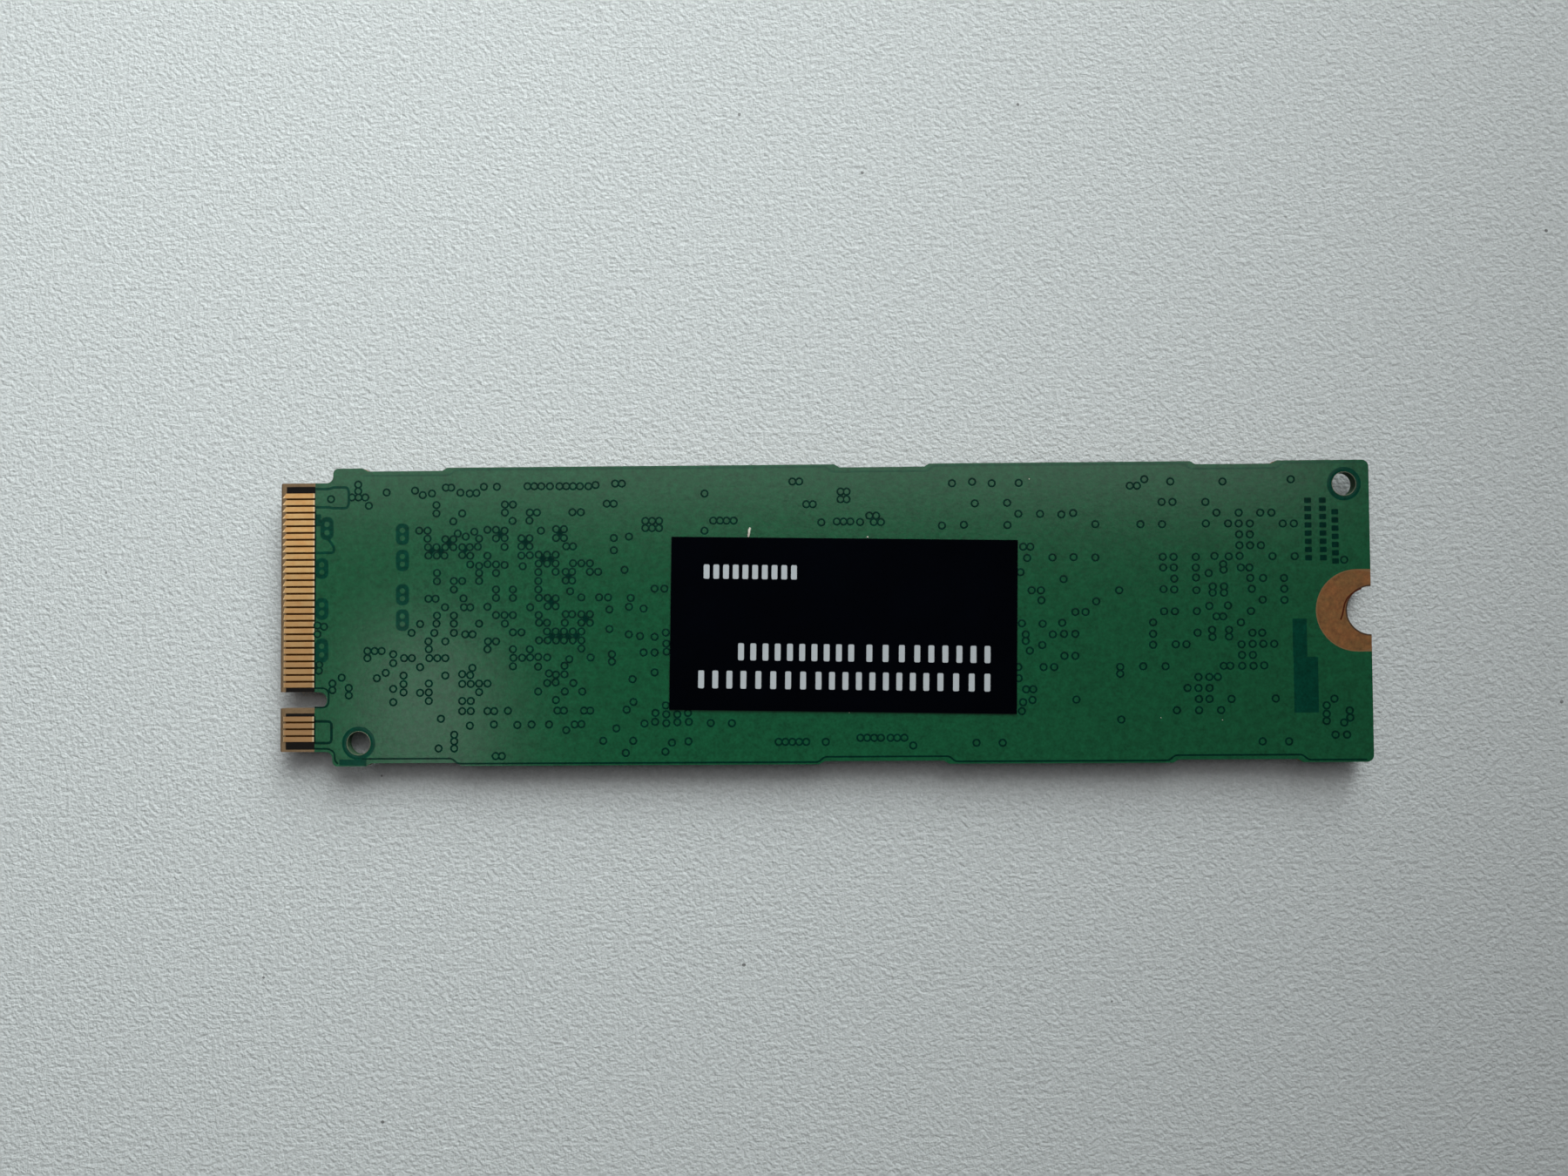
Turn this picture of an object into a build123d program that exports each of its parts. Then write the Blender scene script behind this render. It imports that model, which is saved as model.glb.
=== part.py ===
from build123d import *
import math
import os

os.makedirs("parts", exist_ok=True)

# A solid state drive card, 22 by 80 mm, lying on its components with its bare back up.
# X runs from the edge connector to the screw notch, +Z is the back, and the origin is the middle
# of the footprint on the surface that the card lies on. Lengths are in millimetres.

# Card
board_length = 80.0
board_width = 22.0
laminate_thickness = 0.74
mask_thickness = 0.03
end_corner_radius = 0.5

# Edge connector tab and its key notch
tab_length = 3.9
shoulder_step = 1.075
tab_corner_radius = 0.12
shoulder_radius = 0.5
body_corner_radius = 0.4
fillet_room = 0.9
bevel_length = 0.15
bevel_depth = 0.1
key_width = 1.2
key_depth = 3.5
key_offset = 6.125

# Gold contacts
contact_pitch = 0.5
contact_width = 0.35
contact_thickness = 0.025
contact_window = 2.58
contact_bevel_gap = 0.115
contact_mask_gap = 0.06
contact_side_margin = 0.5
contact_key_clearance = 0.2
tip_slant = 0.27
slant_start = -1.5
slant_run = 6.0

# Screw notch and its copper pad
screw_notch_radius = 1.75
screw_pad_radius = 3.0
screw_pad_setback = 1.0
pad_thickness = 0.025

# Tooling holes, measured from the nearest two edges
tooling_hole_diameter = 1.7
upper_hole_end_gap = 1.8
upper_hole_side_gap = 1.75
lower_hole_end_gap = 5.85
lower_hole_side_gap = 1.7

# Shallow recesses that the router left along the long edges
recess_depth = 0.23
recess_ramp = 0.4
upper_recess_lengths = (6.3, 7.0, 6.3)
lower_recess_lengths = (7.1, 9.5, 9.4)
upper_first_recess_gap = 9.25
lower_first_recess_gap = 9.95
middle_recess_offset = 4.5
last_recess_gap = 9.8

# Sticker on the back
label_length = 25.4
label_width = 12.7
label_thickness = 0.1
label_offset_x = 1.6
label_offset_y = -0.82
label_turn = -1.0

# Chips on solder balls
ball_height = 0.22
ball_fill = 0.55
ball_sides = 6
ball_edge_margin = 0.55
substrate_thickness = 0.2
controller_size = 13.5
controller_height = 1.1
controller_ball_pitch = 0.65
memory_length = 7.5
memory_width = 11.0
memory_height = 1.1
memory_ball_pitch = 0.8
flash_length = 12.0
flash_width = 18.0
flash_height = 1.2
flash_ball_pitch = 1.0
dimple_diameter = 0.8
dimple_depth = 0.06
dimple_margin = 1.2

# Power chip and regulators, flat packages on lands
land_thickness = 0.05
land_width = 0.25
land_depth = 0.45
land_pitch = 0.5
land_reach = 0.05
power_chip_size = 4.0
power_chip_height = 0.85
regulator_size = 2.0
regulator_height = 0.75

# Moulded power inductors
inductor_length = 2.5
inductor_width = 2.0
inductor_height = 1.2
inductor_chamfer = 0.12
terminal_thickness = 0.08
terminal_foot = 0.5
terminal_inset = 0.25

# Crystal
crystal_length = 2.5
crystal_width = 2.0
crystal_base_height = 0.35
crystal_lid_height = 0.25
crystal_lid_inset = 0.15
crystal_lid_radius = 0.3

# Capacitors and resistors: length, width, height, length of an end cap
bulk_length = 2.0
bulk_width = 1.25
bulk_height = 1.1
bulk_cap_length = 0.4
decoupling_length = 1.0
decoupling_width = 0.5
decoupling_height = 0.5
decoupling_cap_length = 0.25
coupling_length = 1.0
coupling_width = 0.5
coupling_height = 0.5
coupling_cap_length = 0.25
resistor_length = 1.0
resistor_width = 0.5
resistor_height = 0.35
resistor_cap_length = 0.22
cap_lip = 0.02

# Room between the parts and the edge of the card, and counts of the small parts
part_margin = 0.8
lanes = 4
column_capacitors = (7, 7, 7, 8)
row_capacitors = 6
row_resistors = 6
strap_resistors = 5

# Places along the card
connector_end = -board_length / 2
screw_end = board_length / 2
shoulder = connector_end + tab_length
mask_edge = connector_end + contact_window
tab_width = board_width - 2 * shoulder_step
half_width = board_width / 2
key_middle = -key_offset
# The two rounds of a shoulder share its step
shoulder_share = fillet_room * shoulder_step / (shoulder_radius + body_corner_radius)
shoulder_fillet = shoulder_radius * min(1, shoulder_share)
body_fillet = body_corner_radius * min(1, shoulder_share)
same_place = 1e-3

# Levels, from the surface the card lies on up to its sticker
front_face = max(
    flash_height,
    controller_height,
    memory_height,
    inductor_height,
    power_chip_height,
    bulk_height,
)
laminate_bottom = front_face + mask_thickness
laminate_top = laminate_bottom + laminate_thickness
back_face = laminate_top + mask_thickness


def spread(sizes, start, end, shares=None):
    """Middles of pieces of these sizes set in a row, the spare room shared out as gaps."""
    shares = shares or [1] * (len(sizes) + 1)
    spare = (end - start - sum(sizes)) / sum(shares)
    middles = []
    place = start
    for size, share in zip(sizes, shares):
        place += share * spare + size / 2
        middles.append(place)
        place += size / 2
    return middles


def corners(sketch, x, y):
    """Corners of a sketch at this x, on both sides of the middle line."""
    return sketch.vertices().filter_by(
        lambda v: abs(v.X - x) < same_place and abs(abs(v.Y) - y) < same_place
    )


def grid(count, pitch):
    """Evenly spaced places about zero."""
    return [(i - (count - 1) / 2) * pitch for i in range(count)]


# Places of the main parts: line-coupling row, controller, power column, memory, two flash chips
power_column = max(power_chip_size, inductor_length, bulk_length)
main_sizes = [coupling_length, controller_size, power_column, memory_length, flash_length, flash_length]
main_gaps = [0.5, 0.5, 1, 1, 1, 1, 1]
screw_pad_reach = screw_pad_setback + screw_pad_radius
main_places = spread(main_sizes, shoulder, screw_end - screw_pad_reach, main_gaps)
coupling_x, controller_x, power_x, memory_x, flash_1_x, flash_2_x = main_places
side_limit = half_width - part_margin

# Power column: bulk capacitors, inductors and the power chip, from the upper side down
power_kinds = ["bulk", "inductor", "bulk", "chip", "inductor", "bulk", "inductor"]
power_widths = {"bulk": bulk_width, "inductor": inductor_width, "chip": power_chip_size}
power_sizes = [power_widths[kind] for kind in power_kinds]
power_rows = list(zip(power_kinds, spread(power_sizes, -side_limit, side_limit)))
bulk_places = [(power_x, -y, 0) for kind, y in power_rows if kind == "bulk"]
inductor_places = [(power_x, -y) for kind, y in power_rows if kind == "inductor"]
power_chip_y = [-y for kind, y in power_rows if kind == "chip"][0]

# Memory column: crystal, memory chip, regulator
memory_sizes = [crystal_width, memory_width, regulator_size]
crystal_y, memory_y, regulator_y = spread(memory_sizes, -side_limit, side_limit)

# Row beside the connector: the coupling capacitors in pairs, then strap resistors
lower_hole_y = -half_width + lower_hole_side_gap
row_bottom = lower_hole_y + tooling_hole_diameter / 2
coupling_count = 2 * lanes
row_sizes = [resistor_width] * strap_resistors + [coupling_width] * coupling_count
pair_gaps = [2] + [0.6, 1.4] * lanes
row_places = spread(row_sizes, row_bottom, side_limit, [1] * strap_resistors + pair_gaps)
strap_places = [(coupling_x, y, 0) for y in row_places[:strap_resistors]]
coupling_places = [(coupling_x, y, 0) for y in row_places[strap_resistors:]]

# Columns of decoupling capacitors in the gaps between the main parts
decoupling_places = []
for i, count in enumerate(column_capacitors):
    left_side = main_places[i + 1] + main_sizes[i + 1] / 2
    right_side = main_places[i + 2] - main_sizes[i + 2] / 2
    column_x = (left_side + right_side) / 2
    for y in spread([decoupling_length] * count, -side_limit, side_limit):
        decoupling_places.append((column_x, y, 90))

# Rows above and below the controller
controller_left = controller_x - controller_size / 2
controller_right = controller_x + controller_size / 2
band_y = (controller_size / 2 + side_limit) / 2
for x in spread([decoupling_length] * row_capacitors, controller_left, controller_right):
    decoupling_places.append((x, band_y, 0))
resistor_row = spread([resistor_length] * row_resistors, controller_left, controller_right)
resistor_places = strap_places + [(x, -band_y, 0) for x in resistor_row]

# Contact rows: every place on the pitch that the tab holds, less those at the key notch
contact_limit = tab_width / 2 - contact_side_margin
key_room = key_width / 2 + contact_width / 2 + contact_key_clearance
back_count = 2 * math.floor(contact_limit / contact_pitch) + 1
front_count = 2 * math.floor(contact_limit / contact_pitch + 0.5)
back_contacts = [y for y in grid(back_count, contact_pitch) if abs(y - key_middle) > key_room]
front_contacts = [y for y in grid(front_count, contact_pitch) if abs(y - key_middle) > key_room]
contact_tip = connector_end + bevel_length + contact_bevel_gap
contact_root = mask_edge - contact_mask_gap

# Outline of the card
with BuildSketch() as card_outline:
    with Locations(((shoulder + screw_end) / 2, 0)):
        Rectangle(screw_end - shoulder, board_width)
    with Locations(((connector_end + shoulder) / 2, 0)):
        Rectangle(tab_length, tab_width)
    fillet(corners(card_outline, connector_end, tab_width / 2), tab_corner_radius)
    fillet(corners(card_outline, shoulder, tab_width / 2), shoulder_fillet)
    fillet(corners(card_outline, shoulder, half_width), body_fillet)
    fillet(corners(card_outline, screw_end, half_width), end_corner_radius)
    # Recesses along the long edges
    recess_rows = (
        (1, upper_first_recess_gap, upper_recess_lengths),
        (-1, lower_first_recess_gap, lower_recess_lengths),
    )
    for side, first_gap, lengths in recess_rows:
        middles = (connector_end + first_gap, middle_recess_offset, screw_end - last_recess_gap)
        for middle, length in zip(middles, lengths):
            with BuildLine():
                Polyline(
                    (middle - length / 2, side * half_width),
                    (middle - length / 2 + recess_ramp, side * (half_width - recess_depth)),
                    (middle + length / 2 - recess_ramp, side * (half_width - recess_depth)),
                    (middle + length / 2, side * half_width),
                    close=True,
                )
            make_face(mode=Mode.SUBTRACT)
    # Key notch with a round end
    key_straight = key_depth - key_width / 2
    with Locations((connector_end + key_straight / 2, key_middle)):
        Rectangle(key_straight, key_width, mode=Mode.SUBTRACT)
    with Locations((connector_end + key_straight, key_middle)):
        Circle(key_width / 2, mode=Mode.SUBTRACT)
    # Screw notch
    with Locations((screw_end, 0)):
        Circle(screw_notch_radius, mode=Mode.SUBTRACT)
    # Tooling holes
    upper_hole = (screw_end - upper_hole_end_gap, half_width - upper_hole_side_gap)
    lower_hole = (connector_end + lower_hole_end_gap, lower_hole_y)
    with Locations(upper_hole, lower_hole):
        Circle(tooling_hole_diameter / 2, mode=Mode.SUBTRACT)

# Outline of the bare copper round the screw notch
with BuildSketch() as pad_outline:
    with Locations((screw_end - screw_pad_setback, 0)):
        Circle(screw_pad_radius)
    with Locations((screw_end - screw_pad_setback / 2, 0)):
        Rectangle(screw_pad_setback, 2 * screw_pad_radius)
    with Locations((screw_end + screw_pad_radius, 0)):
        Rectangle(2 * screw_pad_radius, 2 * screw_pad_radius, mode=Mode.SUBTRACT)
    with Locations((screw_end, 0)):
        Circle(screw_notch_radius, mode=Mode.SUBTRACT)

# Outline of the solder mask: the card without the contact window and the pad
with BuildSketch() as mask_outline:
    add(card_outline.sketch)
    with Locations((connector_end + contact_window / 2, 0)):
        Rectangle(contact_window, board_width, mode=Mode.SUBTRACT)
    add(pad_outline.sketch, mode=Mode.SUBTRACT)

# Laminate, its connector end bevelled on both faces
with BuildPart() as circuit_board:
    with BuildSketch(Plane.XY.offset(laminate_bottom)):
        add(card_outline.sketch)
    extrude(amount=laminate_thickness)
    with BuildSketch(Plane.XZ):
        for face, inward in ((laminate_top, -1), (laminate_bottom, 1)):
            with BuildLine():
                Polyline(
                    (connector_end, face),
                    (connector_end + bevel_length, face),
                    (connector_end, face + inward * bevel_depth),
                    close=True,
                )
            make_face()
    extrude(amount=board_width, both=True, mode=Mode.SUBTRACT)
circuit_board.part.label = "circuit_board"
export_step(circuit_board.part, "parts/circuit_board.step")

with BuildPart() as solder_mask_back:
    with BuildSketch(Plane.XY.offset(laminate_top)):
        add(mask_outline.sketch)
    extrude(amount=mask_thickness)
solder_mask_back.part.label = "solder_mask_back"
export_step(solder_mask_back.part, "parts/solder_mask_back.step")

with BuildPart() as solder_mask_front:
    with BuildSketch(Plane.XY.offset(front_face)):
        add(mask_outline.sketch)
    extrude(amount=mask_thickness)
solder_mask_front.part.label = "solder_mask_front"
export_step(solder_mask_front.part, "parts/solder_mask_front.step")

with BuildPart() as screw_pad_back:
    with BuildSketch(Plane.XY.offset(laminate_top)):
        add(pad_outline.sketch)
    extrude(amount=pad_thickness)
screw_pad_back.part.label = "screw_pad_back"
export_step(screw_pad_back.part, "parts/screw_pad_back.step")

with BuildPart() as screw_pad_front:
    with BuildSketch(Plane.XY.offset(laminate_bottom)):
        add(pad_outline.sketch)
    extrude(amount=-pad_thickness)
screw_pad_front.part.label = "screw_pad_front"
export_step(screw_pad_front.part, "parts/screw_pad_front.step")

# Back contacts: the tips slant more towards the upper side of the card
with BuildPart() as edge_contacts_back:
    with BuildSketch(Plane.XY.offset(laminate_top)):
        for y in back_contacts:
            slant = tip_slant * min(1, max(0, (y - slant_start) / slant_run))
            with BuildLine():
                Polyline(
                    (contact_tip - slant / 2, y - contact_width / 2),
                    (contact_root, y - contact_width / 2),
                    (contact_root, y + contact_width / 2),
                    (contact_tip + slant / 2, y + contact_width / 2),
                    close=True,
                )
            make_face()
    extrude(amount=contact_thickness)
edge_contacts_back.part.label = "edge_contacts_back"
export_step(edge_contacts_back.part, "parts/edge_contacts_back.step")

with BuildPart() as edge_contacts_front:
    with BuildSketch(Plane.XY.offset(laminate_bottom)):
        with Locations(*[((contact_tip + contact_root) / 2, y) for y in front_contacts]):
            Rectangle(contact_root - contact_tip, contact_width)
    extrude(amount=-contact_thickness)
edge_contacts_front.part.label = "edge_contacts_front"
export_step(edge_contacts_front.part, "parts/edge_contacts_front.step")

# Sticker, laid a little askew
with BuildPart() as label:
    with BuildSketch(Plane((label_offset_x, label_offset_y, back_face))):
        Rectangle(label_length, label_width, rotation=label_turn)
    extrude(amount=label_thickness)
label.part.label = "label"
export_step(label.part, "parts/label.step")


def edge_balls(length, width, pitch):
    """Places of the outermost balls of a full grid under a package."""
    columns = math.floor((length - 2 * ball_edge_margin) / pitch) + 1
    rows = math.floor((width - 2 * ball_edge_margin) / pitch) + 1
    xs = grid(columns, pitch)
    ys = grid(rows, pitch)
    sides = [(x, y) for x in (xs[0], xs[-1]) for y in ys]
    ends = [(x, y) for x in xs[1:-1] for y in (ys[0], ys[-1])]
    return sides + ends


def side_balls(length, width, pitch):
    """Places of the outermost balls of a package with a bank of balls along each long side."""
    rows = math.floor((width - 2 * ball_edge_margin) / pitch) + 1
    outermost = length / 2 - ball_edge_margin
    return [(x, y) for x in (-outermost, outermost) for y in grid(rows, pitch)]


def ball_package(name, middle, length, width, height, balls, pitch):
    """A package on solder balls: the balls, the substrate and the moulded body below it."""
    x, y = middle
    substrate_face = front_face - ball_height
    body_face = substrate_face - substrate_thickness
    outer_face = front_face - height
    with BuildPart() as solder_balls:
        with BuildSketch(Plane((x, y, substrate_face))):
            with Locations(*balls):
                RegularPolygon(ball_fill * pitch / 2, ball_sides)
        extrude(amount=ball_height)
    solder_balls.part.label = name + "_solder_balls"
    export_step(solder_balls.part, f"parts/{name}_solder_balls.step")
    with BuildPart() as substrate:
        with BuildSketch(Plane((x, y, body_face))):
            Rectangle(length, width)
        extrude(amount=substrate_thickness)
    substrate.part.label = name + "_substrate"
    export_step(substrate.part, f"parts/{name}_substrate.step")
    with BuildPart() as body:
        with BuildSketch(Plane((x, y, outer_face))):
            Rectangle(length, width)
        extrude(amount=body_face - outer_face)
        # Dimple at the corner of the first ball
        dimple = Plane((x - length / 2 + dimple_margin, y + width / 2 - dimple_margin, outer_face))
        with BuildSketch(dimple):
            Circle(dimple_diameter / 2)
        extrude(amount=dimple_depth, mode=Mode.SUBTRACT)
    body.part.label = name
    export_step(body.part, f"parts/{name}.step")


ball_package(
    "controller",
    (controller_x, 0),
    controller_size,
    controller_size,
    controller_height,
    edge_balls(controller_size, controller_size, controller_ball_pitch),
    controller_ball_pitch,
)
ball_package(
    "memory_chip",
    (memory_x, memory_y),
    memory_length,
    memory_width,
    memory_height,
    side_balls(memory_length, memory_width, memory_ball_pitch),
    memory_ball_pitch,
)
for number, flash_x in ((1, flash_1_x), (2, flash_2_x)):
    ball_package(
        f"flash_chip_{number}",
        (flash_x, 0),
        flash_length,
        flash_width,
        flash_height,
        side_balls(flash_length, flash_width, flash_ball_pitch),
        flash_ball_pitch,
    )


def land_package(name, middle, size, height, sides):
    """A flat package: its body and the lands under its edges, in a row on each of these sides."""
    x, y = middle
    count = math.floor((size - 2 * land_depth) / land_pitch)
    offset = size / 2 + land_reach - land_depth / 2
    with BuildPart() as lands:
        with BuildSketch(Plane((x, y, front_face))):
            for side in range(sides):
                turn = 90 * side if sides == 4 else 180 * side
                with Locations(Location((0, 0, 0), (0, 0, turn))):
                    with Locations(*[(offset, place) for place in grid(count, land_pitch)]):
                        Rectangle(land_depth, land_width)
        extrude(amount=-land_thickness)
    lands.part.label = name + "_lands"
    export_step(lands.part, f"parts/{name}_lands.step")
    with BuildPart() as body:
        with BuildSketch(Plane((x, y, front_face - land_thickness))):
            Rectangle(size, size)
        extrude(amount=-(height - land_thickness))
    body.part.label = name
    export_step(body.part, f"parts/{name}.step")


land_package("power_chip", (power_x, power_chip_y), power_chip_size, power_chip_height, 4)
land_package("voltage_regulator", (memory_x, regulator_y), regulator_size, regulator_height, 2)

# Inductors: a moulded block with a terminal strip folded under each end
block_length = inductor_length - 2 * terminal_thickness
with BuildPart() as power_inductors:
    with BuildSketch(Plane.XY.offset(front_face - terminal_thickness)):
        with Locations(*inductor_places):
            Rectangle(block_length, inductor_width)
    extrude(amount=-(inductor_height - terminal_thickness))
    chamfer(power_inductors.faces().sort_by(Axis.Z)[: len(inductor_places)].edges(), inductor_chamfer)
power_inductors.part.label = "power_inductors"
export_step(power_inductors.part, "parts/power_inductors.step")

with BuildPart() as inductor_terminals:
    strip_width = inductor_width - 2 * terminal_inset
    strip_height = inductor_height - inductor_chamfer - terminal_inset
    for x, y in inductor_places:
        for side in (1, -1):
            end = x + side * inductor_length / 2
            inner = end - side * terminal_thickness
            foot = end - side * terminal_foot
            with BuildSketch(Plane.XZ.offset(-y)):
                with BuildLine():
                    Polyline(
                        (end, front_face),
                        (end, front_face - strip_height),
                        (inner, front_face - strip_height),
                        (inner, front_face - terminal_thickness),
                        (foot, front_face - terminal_thickness),
                        (foot, front_face),
                        close=True,
                    )
                make_face()
            extrude(amount=strip_width / 2, both=True)
inductor_terminals.part.label = "inductor_terminals"
export_step(inductor_terminals.part, "parts/inductor_terminals.step")

# Crystal: a ceramic base with a metal lid
with BuildPart() as crystal_base:
    with BuildSketch(Plane((memory_x, crystal_y, front_face))):
        Rectangle(crystal_length, crystal_width)
    extrude(amount=-crystal_base_height)
crystal_base.part.label = "crystal_base"
export_step(crystal_base.part, "parts/crystal_base.step")

with BuildPart() as crystal_lid:
    with BuildSketch(Plane((memory_x, crystal_y, front_face - crystal_base_height))):
        RectangleRounded(
            crystal_length - 2 * crystal_lid_inset,
            crystal_width - 2 * crystal_lid_inset,
            crystal_lid_radius,
        )
    extrude(amount=-crystal_lid_height)
crystal_lid.part.label = "crystal_lid"
export_step(crystal_lid.part, "parts/crystal_lid.step")


def end_cap_parts(name, places, length, width, height, cap_length):
    """Small parts soldered at both ends: their bodies, and the end caps a lip larger all round."""
    spots = [Location((x, y, 0), (0, 0, turn)) for x, y, turn in places]
    cap_offset = (length - cap_length) / 2
    with BuildPart() as bodies:
        with BuildSketch(Plane.XY.offset(front_face - cap_lip)):
            with Locations(*spots):
                Rectangle(length - 2 * cap_length, width - 2 * cap_lip)
        extrude(amount=-(height - 2 * cap_lip))
    bodies.part.label = name + "s"
    export_step(bodies.part, f"parts/{name}s.step")
    with BuildPart() as end_caps:
        with BuildSketch(Plane.XY.offset(front_face)):
            with Locations(*spots):
                with Locations((-cap_offset, 0), (cap_offset, 0)):
                    Rectangle(cap_length, width)
        extrude(amount=-height)
    end_caps.part.label = name + "_end_caps"
    export_step(end_caps.part, f"parts/{name}_end_caps.step")


end_cap_parts(
    "bulk_capacitor", bulk_places, bulk_length, bulk_width, bulk_height, bulk_cap_length
)
end_cap_parts(
    "decoupling_capacitor",
    decoupling_places,
    decoupling_length,
    decoupling_width,
    decoupling_height,
    decoupling_cap_length,
)
end_cap_parts(
    "coupling_capacitor",
    coupling_places,
    coupling_length,
    coupling_width,
    coupling_height,
    coupling_cap_length,
)
end_cap_parts(
    "resistor",
    resistor_places,
    resistor_length,
    resistor_width,
    resistor_height,
    resistor_cap_length,
)
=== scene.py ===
"""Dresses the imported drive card: mask, vias, etched lines, label, contacts, components and stage."""

import math
from contextlib import contextmanager

import bmesh
import bpy
from bpy.props import FloatProperty, FloatVectorProperty, PointerProperty
from mathutils import Euler, Matrix, Vector


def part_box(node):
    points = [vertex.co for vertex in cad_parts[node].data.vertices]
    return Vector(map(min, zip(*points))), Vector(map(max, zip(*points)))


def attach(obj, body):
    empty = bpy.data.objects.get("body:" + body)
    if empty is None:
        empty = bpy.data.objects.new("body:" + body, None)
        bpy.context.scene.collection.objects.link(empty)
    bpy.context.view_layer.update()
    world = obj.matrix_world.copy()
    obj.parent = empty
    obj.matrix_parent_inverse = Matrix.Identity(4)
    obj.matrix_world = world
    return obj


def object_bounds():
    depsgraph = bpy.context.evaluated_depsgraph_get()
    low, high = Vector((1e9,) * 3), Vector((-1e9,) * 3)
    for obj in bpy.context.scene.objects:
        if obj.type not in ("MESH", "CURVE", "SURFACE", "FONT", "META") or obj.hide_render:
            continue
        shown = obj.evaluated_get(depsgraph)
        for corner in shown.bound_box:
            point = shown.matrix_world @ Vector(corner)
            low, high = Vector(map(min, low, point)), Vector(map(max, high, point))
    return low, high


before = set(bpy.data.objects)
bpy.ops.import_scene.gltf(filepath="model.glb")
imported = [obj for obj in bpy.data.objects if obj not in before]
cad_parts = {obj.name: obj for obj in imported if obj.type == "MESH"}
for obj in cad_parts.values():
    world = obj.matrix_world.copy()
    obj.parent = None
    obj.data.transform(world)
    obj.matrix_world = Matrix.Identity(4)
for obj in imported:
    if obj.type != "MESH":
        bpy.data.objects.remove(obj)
CAD_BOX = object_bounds()

bl_info = {
    "name": "Drive Card Finish",
    "version": (1, 0, 0),
    "blender": (4, 5, 0),
    "location": "View3D > Sidebar > Drive Card",
    "description": "Finishes a plug-in drive card and sets it on a pale table",
    "category": "Object",
}

MM = 0.001
UP = Vector((0, 0, 1))
IMAGE_WIDTH = 1800
IMAGE_HEIGHT = 1350
SENSOR_WIDTH = 36.0
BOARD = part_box("circuit_board")
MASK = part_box("solder_mask_back")
FRONT_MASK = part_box("solder_mask_front")
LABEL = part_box("label")
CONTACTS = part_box("edge_contacts_back")
BACK_FACE = MASK[1].z
FRONT_FACE = FRONT_MASK[0].z
MASK_EDGE = MASK[0].x
BACKDROP_TINT = (0.97, 0.99, 1.0)

# Half the width and depth of the table that shows round the card, and the width of its fade
NEAR_TABLE = (0.103, 0.089)
NEAR_TABLE_FADE = 0.040

# The two tooling holes: their radius, how far the look of their walls reaches, and their middles
HOLE_RADIUS = 0.85 * MM
HOLE_WALL_REACH = 1.1 * MM
TOOLING_HOLES = ((38.2 * MM, 9.25 * MM, 0), (-34.15 * MM, -9.3 * MM, 0))

# The screw pad: middle and radius of its field within the rim, and of the brown edge at the notch
PAD_MIDDLE = (39.0 * MM, 0, 0)
PAD_FIELD = 2.90 * MM
NOTCH_MIDDLE = (40.0 * MM, 0, 0)
NOTCH_EDGE = 1.83 * MM

# Dark windows round the contacts, and the rows of contacts in them: low and high Y in millimetres
CONTACT_WINDOWS = ((-5.56, 9.70), (-9.78, -7.06))
CONTACT_ROWS = ((-5.21, 9.21), (-9.21, -7.29))

# Along X, the start of both, then the end of the windows and of the rows
WINDOW_START = BOARD[0].x + 0.40 * MM
WINDOW_END = MASK_EDGE + 0.2 * MM
ROW_END = CONTACTS[1].x + 0.03 * MM

# Along X, the two ends of the contacts' length without the painted highlight of their ends, and Y where the
# painted shade of the lower contacts starts and where it is fullest
CONTACT_BODY = (CONTACTS[0].x + 0.08 * MM, CONTACTS[1].x - 0.02 * MM)
CONTACT_SHADE_Y = (5.0 * MM, -8.0 * MM)

# Low pads: shares of the radius for the rim and the dimple's slope, of the height for crown and dimple
PAD_RIM = 0.3
PAD_SLOPE = 0.35
PAD_CROWN = 0.5
PAD_DIMPLE = 0.6

# Vias: sides of a ring and of a pad, and the pad's share of the relief
VIA_RING_SIDES = 12
VIA_PAD_SIDES = 10
VIA_PAD_RISE = 0.7

# Faces that look up have at least this much of their normal along Z
UPWARD = 0.9

# Sharp corners of a strip are stretched as if their cosine were no less than this
LEAST_COSINE = 0.5

# Largest share of a run that the rounding of a corner takes at each end
LARGEST_CUT = 0.49
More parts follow.
